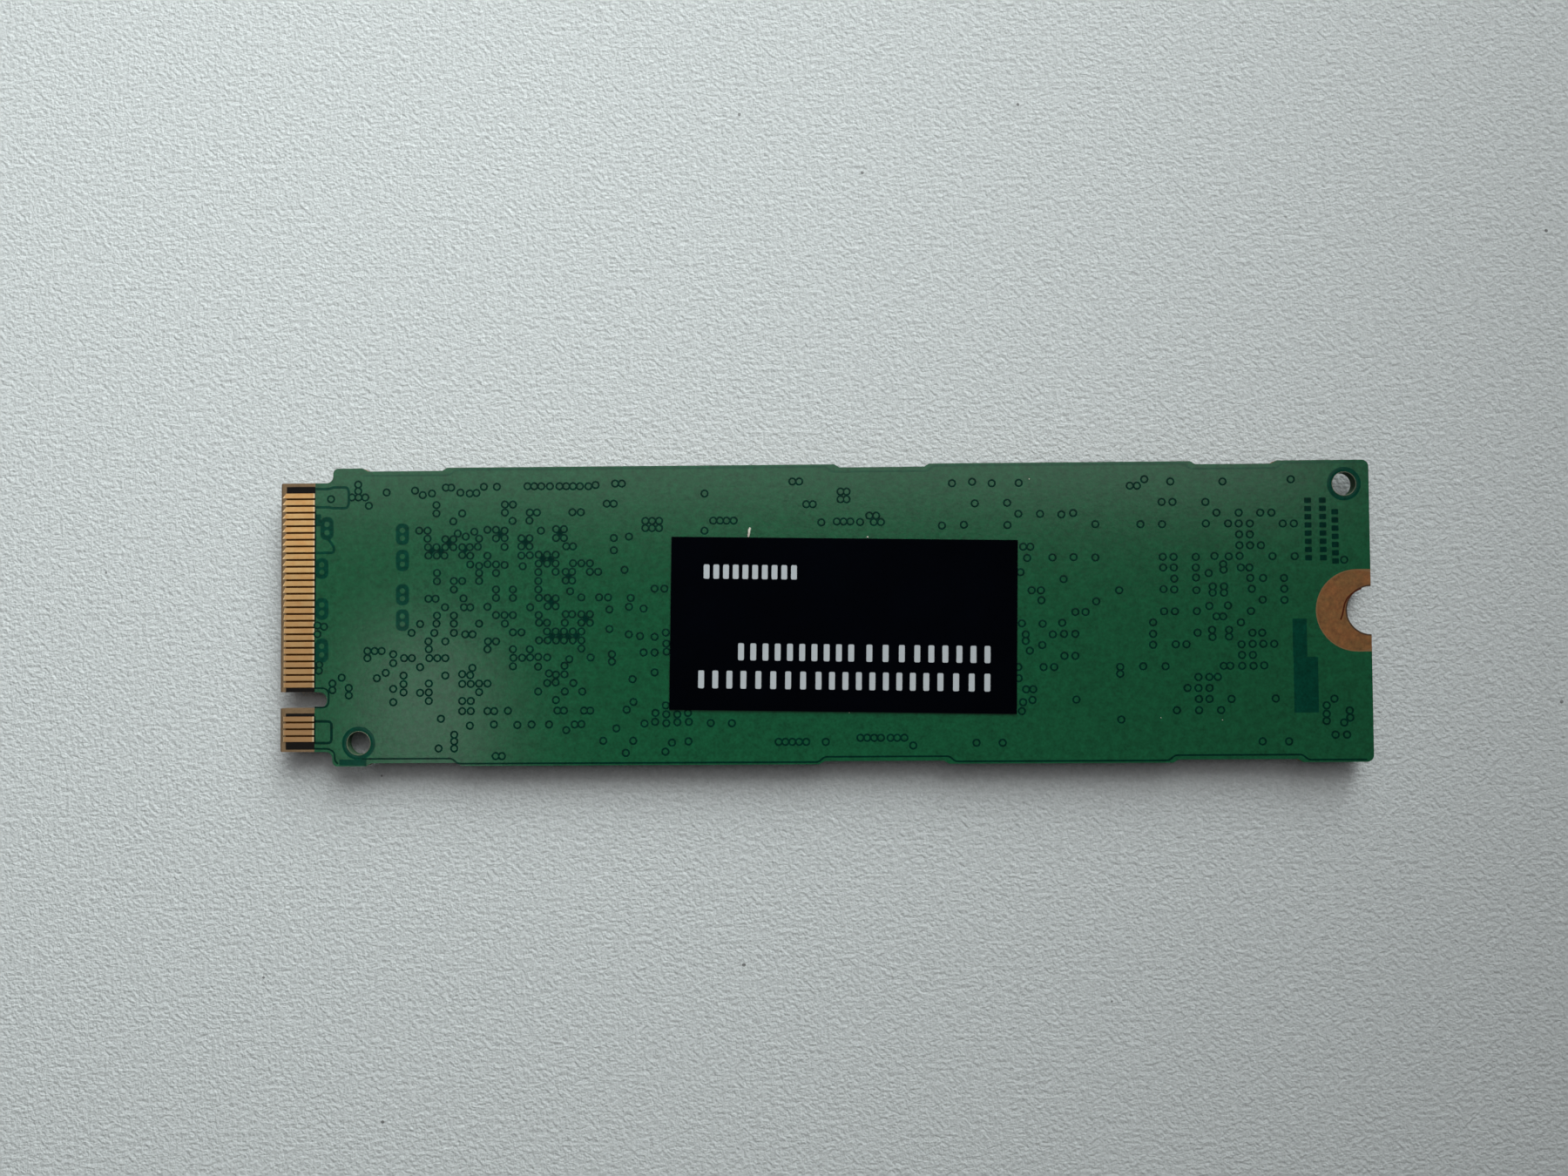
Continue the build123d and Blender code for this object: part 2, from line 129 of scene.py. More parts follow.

# Via places read in enlarged views of the bare side: view corner, enlargement, places in the view
VIA_VIEWS = (
    ((300, 520), 4.9, (
        (545, 178), (545, 215), (510, 250), (547, 250), (585, 250), (605, 297), (705, 222), (865, 212),
        (908, 237), (960, 228), (1038, 195), (1068, 195), (1120, 223), (1172, 228), (1210, 225),
        (1252, 190), (1325, 190), (1497, 187), (1535, 187), (985, 293), (985, 340), (1130, 340),
        (1080, 385), (1370, 290), (1415, 290), (1370, 335), (1413, 382), (1510, 335), (1508, 380),
        (1550, 335), (888, 437), (935, 437), (935, 482), (1035, 485), (1080, 485), (1105, 453),
        (1150, 470), (1198, 443), (1225, 482), (1272, 432), (1320, 432), (1368, 437), (1320, 480),
        (1368, 478), (938, 530), (985, 530), (1035, 530), (1080, 530), (940, 577), (987, 577),
        (1030, 577), (1130, 530), (1130, 575), (1175, 578), (1172, 530), (1218, 527), (1368, 528),
        (1463, 480), (1508, 480), (1463, 525), (1508, 525), (1463, 577), (1510, 575), (1272, 578),
        (1175, 627), (1225, 635), (1272, 625), (1320, 627), (1368, 630), (1320, 675), (1225, 675),
        (1225, 720), (988, 675), (988, 722), (1470, 637), (1083, 720), (1130, 720), (1083, 768),
        (1320, 768), (1320, 815), (1415, 768), (1415, 815), (940, 820), (980, 820), (1137, 818),
        (1033, 868), (1140, 868), (1175, 868), (1272, 865), (1512, 868), (988, 915), (1083, 915),
        (1320, 912), (1368, 912), (1415, 912), (985, 960), (1083, 960), (1225, 960), (1370, 960),
        (893, 962))),
    ((300, 700), 4.9, (
        (845, 130), (973, 130), (1083, 130), (1147, 138), (1188, 138), (1415, 127), (1463, 127),
        (940, 178), (1035, 178), (1275, 178), (1320, 178), (1272, 222), (942, 222), (1415, 222),
        (1510, 222), (597, 232), (637, 232), (677, 232), (597, 272), (742, 250), (742, 300), (803, 272),
        (847, 272), (945, 272), (990, 272), (1035, 272), (1418, 270), (1467, 270), (1512, 268),
        (1557, 265), (893, 323), (1415, 318), (1557, 320), (1187, 327), (700, 355), (650, 385),
        (800, 370), (1035, 370), (1130, 362), (1175, 368), (400, 415), (400, 452), (452, 382),
        (492, 440), (492, 482), (742, 445), (800, 418), (800, 465), (942, 415), (893, 467), (942, 465),
        (942, 513), (1130, 417), (1178, 417), (1225, 415), (1272, 415), (1225, 463), (742, 520),
        (1130, 513), (1178, 513), (1130, 570), (1178, 570), (1272, 570), (1310, 570), (1387, 568),
        (1010, 613), (1173, 652), (1308, 645), (1440, 648), (1520, 645), (1085, 703), (1085, 740),
        (1085, 780), (997, 780), (1318, 823), (1353, 823), (1557, 460), (893, 83), (985, 80), (1083, 83),
        (1225, 80), (1370, 80))),
    ((600, 520), 4.9, (
        (25, 187), (65, 187), (105, 187), (153, 187), (207, 187), (245, 187), (283, 187), (322, 187),
        (370, 187), (410, 180), (520, 172), (558, 172), (473, 285), (512, 285), (1023, 228), (690, 382),
        (728, 382), (767, 382), (690, 422), (728, 422), (767, 422), (1072, 380), (1110, 380), (1147, 380),
        (1187, 380), (1023, 437), (40, 332), (85, 332), (40, 382), (280, 333), (327, 333), (103, 437),
        (188, 428), (232, 428), (188, 478), (232, 478), (245, 525), (283, 525), (40, 480), (40, 525),
        (40, 575), (513, 478), (598, 470), (513, 547), (90, 572), (137, 572), (185, 572), (90, 622),
        (137, 622), (185, 622), (283, 620), (330, 620), (378, 620), (88, 670), (185, 668), (242, 668),
        (278, 668), (242, 717), (278, 717), (378, 668), (425, 668), (88, 720), (88, 768), (573, 657),
        (267, 778), (742, 763), (797, 763), (92, 815), (140, 815), (185, 818), (140, 862), (185, 862),
        (330, 812), (430, 812), (480, 812), (608, 815), (598, 865), (680, 875), (488, 880), (42, 867),
        (90, 912), (242, 907), (278, 907), (330, 907), (378, 907), (92, 955), (137, 955), (237, 955),
        (330, 955), (378, 955))),
    ((600, 700), 4.9, (
        (137, 122), (185, 122), (232, 122), (282, 122), (330, 122), (92, 172), (140, 172), (187, 172),
        (232, 172), (282, 172), (330, 172), (330, 218), (488, 108), (597, 138), (660, 148), (742, 152),
        (805, 128), (808, 190), (680, 240), (742, 240), (810, 235), (42, 222), (8, 270), (45, 270),
        (90, 270), (138, 268), (262, 278), (382, 268), (502, 250), (502, 292), (87, 320), (235, 315),
        (742, 352), (148, 358), (187, 365), (235, 363), (138, 412), (185, 408), (285, 412), (618, 390),
        (90, 462), (237, 460), (335, 460), (187, 508), (623, 518), (585, 562), (195, 567), (232, 567),
        (345, 567), (380, 567), (805, 538), (747, 580), (808, 588), (870, 588), (930, 580), (745, 630),
        (808, 638), (870, 632), (935, 630), (685, 640), (48, 647), (148, 645), (292, 645), (330, 643),
        (245, 677), (527, 667), (1058, 637), (1177, 638), (453, 737), (622, 737), (840, 747), (933, 740),
        (580, 805), (803, 798), (1440, 743), (1478, 743), (1517, 743), (1555, 743))),
    ((900, 520), 4.9, (
        (47, 160), (85, 160), (125, 288), (162, 288), (318, 217), (352, 217), (318, 260), (352, 260),
        (210, 390), (297, 385), (335, 385), (373, 385), (428, 388), (480, 352), (518, 352), (505, 388),
        (545, 388), (945, 170), (1058, 162), (1168, 170), (1320, 168), (1073, 283), (1255, 280),
        (1318, 342), (1440, 342), (1560, 345), (888, 408), (1012, 403), (1257, 405), (1345, 527),
        (1385, 527), (1368, 590), (1510, 587), (1330, 670), (1393, 772), (1445, 772), (1448, 828),
        (1338, 958), (1455, 960), (1565, 955))),
    ((900, 700), 4.9, (
        (1360, 138), (1512, 138), (1360, 175), (1453, 198), (1383, 230), (1460, 322), (1520, 322),
        (1318, 322), (1320, 385), (1362, 447), (1402, 447), (1345, 520), (1398, 507), (1338, 570),
        (8, 743), (50, 743), (88, 743), (125, 743), (235, 743), (430, 720), (468, 720), (507, 720),
        (545, 720), (600, 720), (637, 720), (677, 720), (727, 763), (1083, 748), (1230, 748))),
    ((1200, 520), 3.92, (
        (445, 118), (380, 147), (412, 147), (562, 128), (797, 128), (1104, 118), (523, 220), (572, 220),
        (720, 220), (75, 270), (125, 270), (770, 268), (870, 268), (967, 268), (1017, 268), (225, 320),
        (428, 320), (525, 320), (722, 317), (822, 317), (870, 317), (920, 317), (1068, 317), (1118, 317),
        (872, 366), (920, 366), (873, 415), (921, 415), (970, 415), (30, 468), (127, 468), (225, 470),
        (528, 467), (577, 467), (677, 467), (761, 463), (825, 465), (874, 463), (1022, 464), (1122, 464),
        (800, 500), (530, 515), (578, 515), (677, 515), (735, 540), (802, 525), (880, 515), (918, 515),
        (82, 567), (580, 565), (678, 560), (922, 562), (980, 562), (1074, 562), (332, 617), (532, 612),
        (580, 614), (680, 617), (753, 600), (753, 628), (804, 600), (804, 628), (929, 611), (1075, 611),
        (229, 667), (978, 660), (1076, 661), (738, 688), (822, 686), (135, 715), (181, 715), (534, 712),
        (583, 712), (682, 711), (770, 735), (800, 735), (925, 711), (84, 764), (485, 762), (880, 762))),
    ((1200, 700), 3.92, (
        (36, 108), (84, 108), (135, 108), (485, 108), (685, 103), (750, 90), (752, 122), (827, 90),
        (827, 120), (932, 103), (976, 103), (485, 157), (587, 155), (635, 155), (883, 155), (933, 153),
        (981, 153), (1030, 153), (86, 207), (135, 207), (885, 203), (934, 203), (38, 258), (337, 257),
        (337, 288), (440, 254), (541, 254), (803, 252), (832, 252), (886, 252), (937, 252), (985, 250),
        (689, 302), (738, 302), (776, 302), (640, 352), (689, 352), (739, 352), (140, 404), (691, 401),
        (739, 401), (838, 401), (1037, 399), (1301, 400), (592, 452), (692, 452), (791, 451), (342, 494),
        (1266, 430), (1266, 468), (1266, 500), (1370, 453), (1372, 485), (1345, 507), (1306, 562),
        (1358, 562), (978, 592), (1097, 592))),
    ((0, 0), 1.0, (
        (366.5, 763), (366, 770), (364.5, 718), (372, 719.5), (364.5, 728), (392, 778), (472, 727),
        (380, 573), (1543, 642.5))),
)

# Gaps that close up between four vias, read in the same way in one view
STAR_VIEW = ((480, 590), 6.0, (
    (95, 256), (155, 258), (212, 201), (322, 250), (567, 140), (738, 196), (858, 311), (915, 312),
    (975, 133), (1036, 430), (916, 606), (1154, 722), (920, 841), (976, 842), (1034, 842), (1092, 840)))

# Pairs of pads that stand in one wide gap: middle, upper end and lower end in the picture
PAIRED_PADS = (
    (462, 601, 625.7), (462, 631, 655.7), (462, 670.6, 694.9), (462, 699.5, 724.5), (375.4, 593.6, 620),
    (369.5, 640.7, 664.6), (369.5, 686.4, 711.6), (369.4, 733, 760.6))

# Gaps etched round the copper areas, each a run of places in the picture
POUR_LOOPS = (
    ((355, 561.5), (378, 561.5), (382, 559.6), (398.5, 559.6), (400.5, 564), (400.5, 579), (398, 583.3),
     (381, 583.3), (378, 582.4), (355, 582.4)),
    ((376.5, 618), (383.7, 628.6), (383, 634.6), (355, 634.8)),
    ((355, 828.2), (380.5, 828.2), (380.5, 853), (355, 853)),
)

# Finer gaps along the card's rim, round the key notch and the lower shoulder
RIM_LOOPS = (
    ((361, 790.0), (377.3, 790.0), (377.3, 812.2), (361, 812.2)),
    ((361, 859.4), (377.5, 859.6), (383.6, 863.5), (384.6, 873.5), (388, 877)),
)

# Gaps between the contacts and the mask, drawn dark as painted shade at the mask's edge: their column, and
# the upper and lower end in the picture
END_GAP_COLUMN = 360
END_GAPS = ((585, 713), (738, 789), (822, 853))

# Strip without copper in the lower corner, by its two ends in the picture
CORNER_STRIP = ((389.5, 875.2), (420.5, 875.6))

# Dark panels, two by the screw pad and one by the contacts, by two opposite corners in the picture
ETCHED_PANELS = (((1484.5, 710), (1500, 754)), ((1486, 754), (1513, 818)), ((362, 590.5), (368.6, 604)))


class CardSizes(bpy.types.PropertyGroup):
    """Sizes of the fine pieces on the card."""

    via_radius: FloatProperty(
        name="Via gap radius", description="Middle of the dark gap round a via",
        default=0.237 * MM, unit="LENGTH", precision=6)
    via_gap: FloatProperty(
        name="Via gap width", description="Width of the dark gap round a via",
        default=0.15 * MM, unit="LENGTH", precision=6)
    via_spacing: FloatProperty(
        name="Least via spacing", description="Places closer than this are the same via seen twice",
        default=0.35 * MM, unit="LENGTH", precision=6)
    pad_radius: FloatProperty(
        name="Via pad radius", description="Radius of the covered pad inside the gap",
        default=0.18 * MM, unit="LENGTH", precision=6)
    wide_gap: FloatProperty(
        name="Wide gap", description="Width of the gap round two paired pads",
        default=0.98 * MM, unit="LENGTH", precision=6)
    star_reach: FloatProperty(
        name="Star reach", description="How far a closed-up gap between four vias reaches",
        default=0.27 * MM, unit="LENGTH", precision=6)
    relief: FloatProperty(
        name="Relief", description="Height of the etched relief above the mask",
        default=0.006 * MM, unit="LENGTH", precision=6)
    line_width: FloatProperty(
        name="Etched line", description="Width of the gaps etched round copper areas",
        default=0.19 * MM, unit="LENGTH", precision=6)
    edge_line_width: FloatProperty(
        name="Edge line", description="Width of the gap along the card's long edges",
        default=0.125 * MM, unit="LENGTH", precision=6)
    # The gap between the contacts and the mask is real, and it is drawn dark as painted shade at the mask's
    # edge
    end_gap: FloatProperty(
        name="Contact end gap", description="Width of the dark gap between the contacts and the mask",
        default=0.07 * MM, unit="LENGTH", precision=6)
    corner_strip: FloatProperty(
        name="Corner strip", description="Width of the strip without copper in the lower corner",
        default=0.44 * MM, unit="LENGTH", precision=6)
    # Width of the pale ring that is a painted highlight on a tooling hole's rim
    hole_rim: FloatProperty(
        name="Hole rim", description="Width of the pale drilled rim of a tooling hole",
        default=0.04 * MM, unit="LENGTH", precision=6)
    collar_radius: FloatProperty(
        name="Hole collar", description="Middle radius of the bare collar round a tooling hole",
        default=1.05 * MM, unit="LENGTH", precision=6)
    collar_width: FloatProperty(
        name="Collar width", description="Width of the bare collar round a tooling hole",
        default=0.36 * MM, unit="LENGTH", precision=6)
    bar_width: FloatProperty(
        name="Print block width", description="Width of one plain block printed on the label",
        default=0.43 * MM, unit="LENGTH", precision=6)
    print_thickness: FloatProperty(
        name="Print thickness", description="Thickness of the label's print",
        default=0.002 * MM, unit="LENGTH", precision=6)
    label_turn: FloatProperty(
        name="Label turn", description="How far the label was stuck on askew",
        default=math.radians(-1.0), unit="ROTATION")


class CardColours(bpy.types.PropertyGroup):
    """Base colours of the card's finishes."""

    mask: FloatVectorProperty(
        name="Solder mask", description="Green lacquer over copper",
        default=(0.0035, 0.0615, 0.0236), subtype="COLOR", min=0, max=1)
    mask_gap: FloatVectorProperty(
        name="Mask over a gap", description="Green lacquer where the copper is etched away",
        default=(0.0006, 0.0180, 0.0115), subtype="COLOR", min=0, max=1)
    mask_bare: FloatVectorProperty(
        name="Mask over laminate", description="Green lacquer over a wide area without copper",
        default=(0.0010, 0.0335, 0.0200), subtype="COLOR", min=0, max=1)
    # Partly painted light: a real strip without copper, coloured lighter than the near edge's gap as if lit
    # through the far edge
    mask_rim: FloatVectorProperty(
        name="Mask along the rim", description="Green lacquer over the strip without copper at the far edge",
        default=(0.0024, 0.0520, 0.0240), subtype="COLOR", min=0, max=1)
    laminate: FloatVectorProperty(
        name="Laminate", description="Bare glass cloth laminate",
        default=(0.155, 0.100, 0.056), subtype="COLOR", min=0, max=1)
    window: FloatVectorProperty(
        name="Contact window", description="Dark laminate between the contacts",
        default=(0.0080, 0.0069, 0.0063), subtype="COLOR", min=0, max=1)
    contact_gap: FloatVectorProperty(
        name="Contact gaps", description="Brown laminate in the narrow gaps between two contacts",
        default=(0.0300, 0.0110, 0.0020), subtype="COLOR", min=0, max=1)
    # Painted highlight: the pale ring round each tooling hole's rim
    hole_rim: FloatVectorProperty(
        name="Hole rim", description="Pale drilled rim of a tooling hole",
        default=(0.115, 0.115, 0.075), subtype="COLOR", min=0, max=1)
    hole_wall: FloatVectorProperty(
        name="Hole wall", description="Drilled laminate inside a tooling hole",
        default=(0.035, 0.070, 0.040), subtype="COLOR", min=0, max=1)
    gold: FloatVectorProperty(
        name="Gold", description="Plated edge contacts",
        default=(0.72, 0.445, 0.185), subtype="COLOR", min=0, max=1)
    gold_warm: FloatVectorProperty(
        name="Warm gold", description="Redder clouds in the gold",
        default=(0.68, 0.36, 0.130), subtype="COLOR", min=0, max=1)
    # Painted shade: the gold darkened for the lower contacts beside the key slot
    gold_shade: FloatVectorProperty(
        name="Brown gold", description="Duller gold of the contacts beside the key slot",
        default=(0.43, 0.237, 0.107), subtype="COLOR", min=0, max=1)
    # Painted highlight: the paler tips and roots of the contacts
    gold_highlight: FloatVectorProperty(
        name="Pale gold", description="Paler tips and roots of the contacts",
        default=(0.88, 0.70, 0.44), subtype="COLOR", min=0, max=1)
    copper_warm: FloatVectorProperty(
        name="Warm copper", description="Redder clouds in the dull copper",
        default=(0.205, 0.078, 0.024), subtype="COLOR", min=0, max=1)
    copper: FloatVectorProperty(
        name="Copper", description="Dull copper of the screw pad",
        default=(0.167, 0.080, 0.0248), subtype="COLOR", min=0, max=1)
    pad_rim: FloatVectorProperty(
        name="Pad rim", description="Paler outer rim of the screw pad",
        default=(0.200, 0.105, 0.043), subtype="COLOR", min=0, max=1)
    pad_edge: FloatVectorProperty(
        name="Pad edge", description="Brown edge of the screw pad at the notch",
        default=(0.057, 0.029, 0.014), subtype="COLOR", min=0, max=1)
    scratch: FloatVectorProperty(
        name="Scratch", description="Dark bottom of the scratch on the screw pad",
        default=(0.055, 0.012, 0.005), subtype="COLOR", min=0, max=1)
    label: FloatVectorProperty(
        name="Label", description="Black label film",
        default=(0.0003, 0.0006, 0.0015), subtype="COLOR", min=0, max=1)
    label_dust: FloatVectorProperty(
        name="Label dust", description="Specks of dust on the label",
        default=(0.05, 0.055, 0.06), subtype="COLOR", min=0, max=1)
    print_grey: FloatVectorProperty(
        name="Label print", description="Pale blocks printed on the label",
        default=(0.355, 0.375, 0.395), subtype="COLOR", min=0, max=1)
    mould: FloatVectorProperty(
        name="Chip mould", description="Black moulding compound",
        default=(0.020, 0.020, 0.021), subtype="COLOR", min=0, max=1)
    substrate: FloatVectorProperty(
        name="Chip substrate", description="Thin carrier board of a chip",
        default=(0.016, 0.085, 0.040), subtype="COLOR", min=0, max=1)
    solder: FloatVectorProperty(
        name="Solder", description="Tin solder and tinned end caps",
        default=(0.62, 0.62, 0.60), subtype="COLOR", min=0, max=1)
    inductor: FloatVectorProperty(
        name="Inductor block", description="Pressed iron powder",
        default=(0.085, 0.085, 0.090), subtype="COLOR", min=0, max=1)
    capacitor: FloatVectorProperty(
        name="Capacitor ceramic", description="Fired brown ceramic",
        default=(0.36, 0.235, 0.13), subtype="COLOR", min=0, max=1)
    resistor: FloatVectorProperty(
        name="Resistor body", description="Black glazed resistor",
        default=(0.024, 0.024, 0.027), subtype="COLOR", min=0, max=1)
    ceramic: FloatVectorProperty(
        name="White ceramic", description="Base of the crystal",
        default=(0.72, 0.70, 0.64), subtype="COLOR", min=0, max=1)
    lid: FloatVectorProperty(
        name="Crystal lid", description="Plated metal lid",
        default=(0.70, 0.67, 0.60), subtype="COLOR", min=0, max=1)
    fleck: FloatVectorProperty(
        name="Fleck", description="Pale sliver stuck at the label's edge",
        default=(0.46, 0.41, 0.355), subtype="COLOR", min=0, max=1)
    table: FloatVectorProperty(
        name="Table", description="Pale table top",
        default=(0.502, 0.516, 0.520), subtype="COLOR", min=0, max=1)
    table_speck: FloatVectorProperty(
        name="Table specks", description="Specks of dust on the table",
        default=(0.20, 0.20, 0.20), subtype="COLOR", min=0, max=1)


class CardStage(bpy.types.PropertyGroup):
    """Camera and light."""

    eye: FloatVectorProperty(
        name="Camera place", description="Where the picture was taken from",
        default=(-1.39 * MM, -0.21 * MM, 85.14 * MM), subtype="TRANSLATION", unit="LENGTH")
    eye_turn: FloatVectorProperty(
        name="Camera turn", description="How the camera is turned from looking straight down",
        default=(math.radians(1.459), math.radians(0.939), math.radians(-0.384)), subtype="EULER")
    lens: FloatProperty(
        name="Lens", description="Focal length for a sensor 36 mm wide", default=26.0, unit="CAMERA")
    key_place: FloatVectorProperty(
        name="Key light place", description="Middle of the soft key light",
        default=(0.02, 0.18, 0.135), subtype="TRANSLATION", unit="LENGTH")
    key_aim: FloatVectorProperty(
        name="Key light aim", description="Where the soft key light points",
        default=(-0.10, -0.03, 0.0), subtype="TRANSLATION", unit="LENGTH")
    key_spread: FloatProperty(
        name="Key light spread", description="Opening angle of the soft key light",
        default=math.radians(85), unit="ROTATION")
    key_tint: FloatVectorProperty(
        name="Key light tint", description="Colour of the soft key light",
        default=(0.93, 1.0, 0.985), subtype="COLOR", min=0, max=1)
    key_size: FloatVectorProperty(
        name="Key light size", description="Width and height of the soft key light",
        default=(0.20, 0.20), size=2, unit="LENGTH")
    key_power: FloatProperty(
        name="Key light power", description="Power of the soft key light", default=0.33, unit="POWER")
    panel_place: FloatVectorProperty(
        name="Ceiling panel place", description="Middle of the dim panel over the card's far edge",
        default=(-0.035, 0.168, 0.35), subtype="TRANSLATION", unit="LENGTH")
    panel_size: FloatVectorProperty(
        name="Ceiling panel size", description="Width and depth of the dim panel",
        default=(0.47, 0.25), size=2, unit="LENGTH")
    panel_power: FloatProperty(
        name="Ceiling panel power", description="Power of the dim panel", default=0.45, unit="POWER")
    glint_place: FloatVectorProperty(
        name="Glint panel place", description="Middle of the small panel that shows in the lacquer",
        default=(-0.146, -0.034, 0.35), subtype="TRANSLATION", unit="LENGTH")
    glint_size: FloatVectorProperty(
        name="Glint panel size", description="Width and depth of the small panel",
        default=(0.044, 0.062), size=2, unit="LENGTH")
    glint_power: FloatProperty(
        name="Glint panel power", description="Power of the small panel", default=0.016, unit="POWER")
    fill: FloatProperty(
        name="Fill", description="Strength of the even light from all round", default=0.095, min=0)
    backdrop: FloatProperty(
        name="Backdrop", description="Brightness of the pale backdrop behind the table",
        default=0.6, min=0, max=1)
    table_size: FloatProperty(
        name="Table size", description="Side of the table top", default=1.6, unit="LENGTH")


# Node trees

# Tone below which there is no cloud
CLOUD_FLOOR = 0.5

# Places of the factor, the two colours and the mixed colour among a Mix node's sockets
MIX_INPUTS = (0, 6, 7)
MIX_RESULT = 2


def join(tree, value, socket):
    """Links an output to the socket, or sets the socket's own value."""
    if isinstance(value, bpy.types.NodeSocket):
        tree.links.new(value, socket)
    elif hasattr(value, "__len__") and len(value) == 3 and socket.type == "RGBA":
        socket.default_value = (*value, 1.0)
    else:
        socket.default_value = value


def fill(tree, node, values):
    """Links or sets a node's inputs by name; returns the node."""
    for key, value in values.items():
        join(tree, value, node.inputs[key.replace("_", " ")])
    return node


def put(tree, kind, settings=None, **values):
    """Adds a node with its settings, and its inputs by name."""
    node = tree.nodes.new(kind)
    for key, value in (settings or {}).items():
        setattr(node, key, value)
    return fill(tree, node, values)


def sums(tree, operation, *values):
    """One Math node; returns its result."""
    node = put(tree, "ShaderNodeMath", {"operation": operation})
    for socket, value in zip(node.inputs, values):
        join(tree, value, socket)
    return node.outputs[0]


def clamped(tree, value):
    """A value held between 0 and 1."""
    return put(tree, "ShaderNodeClamp", Value=value).outputs[0]


def ranged(tree, value, **limits):
    """A value carried from one range to another."""
    return put(tree, "ShaderNodeMapRange", Value=value, **limits).outputs[0]


def blend(tree, factor, first, second):
    """Mixes two colours; returns the colour."""
    node = put(tree, "ShaderNodeMix", {"data_type": "RGBA"})
    for index, value in zip(MIX_INPUTS, (factor, first, second)):
        join(tree, value, node.inputs[index])
    return node.outputs[MIX_RESULT]


def shaded(tree, colour, value):
    """A colour made lighter or darker by a value."""
    node = put(tree, "ShaderNodeVectorMath", {"operation": "SCALE"}, Vector=colour, Scale=value)
    return node.outputs[0]


def new_group(name, inputs, outputs):
    """An empty shader group; returns its tree, the sockets it is given and those it puts out."""
    tree = bpy.data.node_groups.new(name, "ShaderNodeTree")
    for label, kind, value in inputs:
        socket = tree.interface.new_socket(name=label, in_out="INPUT", socket_type=kind)
        if value is not None:
            socket.default_value = value
    for label, kind in outputs:
        tree.interface.new_socket(name=label, in_out="OUTPUT", socket_type=kind)
    given = tree.nodes.new("NodeGroupInput").outputs
    result = tree.nodes.new("NodeGroupOutput").inputs
    return tree, given, result


def mottle_group():
    """Cloudy lightness round 1, from a fine and a broad noise."""
    tree, given, result = new_group(
        "Mottle",
        (("Vector", "NodeSocketVector", None), ("Fine", "NodeSocketFloat", 3000.0),
         ("Broad", "NodeSocketFloat", 150.0), ("Spread", "NodeSocketFloat", 0.2)),
        (("Value", "NodeSocketFloat"),))
    fine = put(tree, "ShaderNodeTexNoise", Vector=given["Vector"], Scale=given["Fine"], Detail=3.0,
               Roughness=0.6)
    broad = put(tree, "ShaderNodeTexNoise", Vector=given["Vector"], Scale=given["Broad"], Detail=2.0,
                Roughness=0.5)
    both = sums(tree, "ADD", fine.outputs[0], broad.outputs[0])
    swing = sums(tree, "MULTIPLY", sums(tree, "SUBTRACT", both, 1.0), given["Spread"])
    join(tree, sums(tree, "ADD", swing, 1.0), result["Value"])
    return tree


def grain_group():
    """A grained surface: noise as a bump."""
    tree, given, result = new_group(
        "Grain",
        (("Vector", "NodeSocketVector", None), ("Scale", "NodeSocketFloat", 3000.0),
         ("Depth", "NodeSocketFloat", 0.00001), ("Strength", "NodeSocketFloat", 0.5)),
        (("Normal", "NodeSocketVector"), ("Height", "NodeSocketFloat")))
    noise = put(tree, "ShaderNodeTexNoise", Vector=given["Vector"], Scale=given["Scale"], Detail=4.0,
                Roughness=0.55)
    bump = put(tree, "ShaderNodeBump", Strength=given["Strength"], Distance=given["Depth"],
               Height=noise.outputs[0])
    join(tree, bump.outputs[0], result["Normal"])
    join(tree, noise.outputs[0], result["Height"])
    return tree


def speck_group():
    """Scattered specks of dust: 1 on a speck and 0 elsewhere."""
    tree, given, result = new_group(
        "Specks",
        (("Vector", "NodeSocketVector", None), ("Scale", "NodeSocketFloat", 900.0),
         ("Size", "NodeSocketFloat", 0.08), ("Share", "NodeSocketFloat", 0.1)),
        (("Mask", "NodeSocketFloat"),))
    cells = put(tree, "ShaderNodeTexVoronoi", Vector=given["Vector"], Scale=given["Scale"])
    near = sums(tree, "LESS_THAN", cells.outputs["Distance"], given["Size"])
    parts = put(tree, "ShaderNodeSeparateColor", Color=cells.outputs["Color"])
    kept = sums(tree, "LESS_THAN", parts.outputs[0], given["Share"])
    join(tree, sums(tree, "MULTIPLY", near, kept), result["Mask"])
    return tree


def window_group():
    """1 inside a rectangle of X and Y, fading over Soft at its sides."""
    tree, given, result = new_group(
        "Window",
        (("Vector", "NodeSocketVector", None), ("Low X", "NodeSocketFloat", 0.0),
         ("High X", "NodeSocketFloat", 0.0), ("Low Y", "NodeSocketFloat", 0.0),
         ("High Y", "NodeSocketFloat", 0.0), ("Soft", "NodeSocketFloat", 0.00005)),
        (("Mask", "NodeSocketFloat"),))
    place = put(tree, "ShaderNodeSeparateXYZ", Vector=given["Vector"]).outputs
    mask = 1.0
    for axis in ("X", "Y"):
        for low, high in ((given["Low " + axis], place[axis]), (place[axis], given["High " + axis])):
            inside = sums(tree, "DIVIDE", sums(tree, "SUBTRACT", high, low), given["Soft"])
            mask = sums(tree, "MULTIPLY", mask, clamped(tree, inside))
    join(tree, mask, result["Mask"])
    return tree


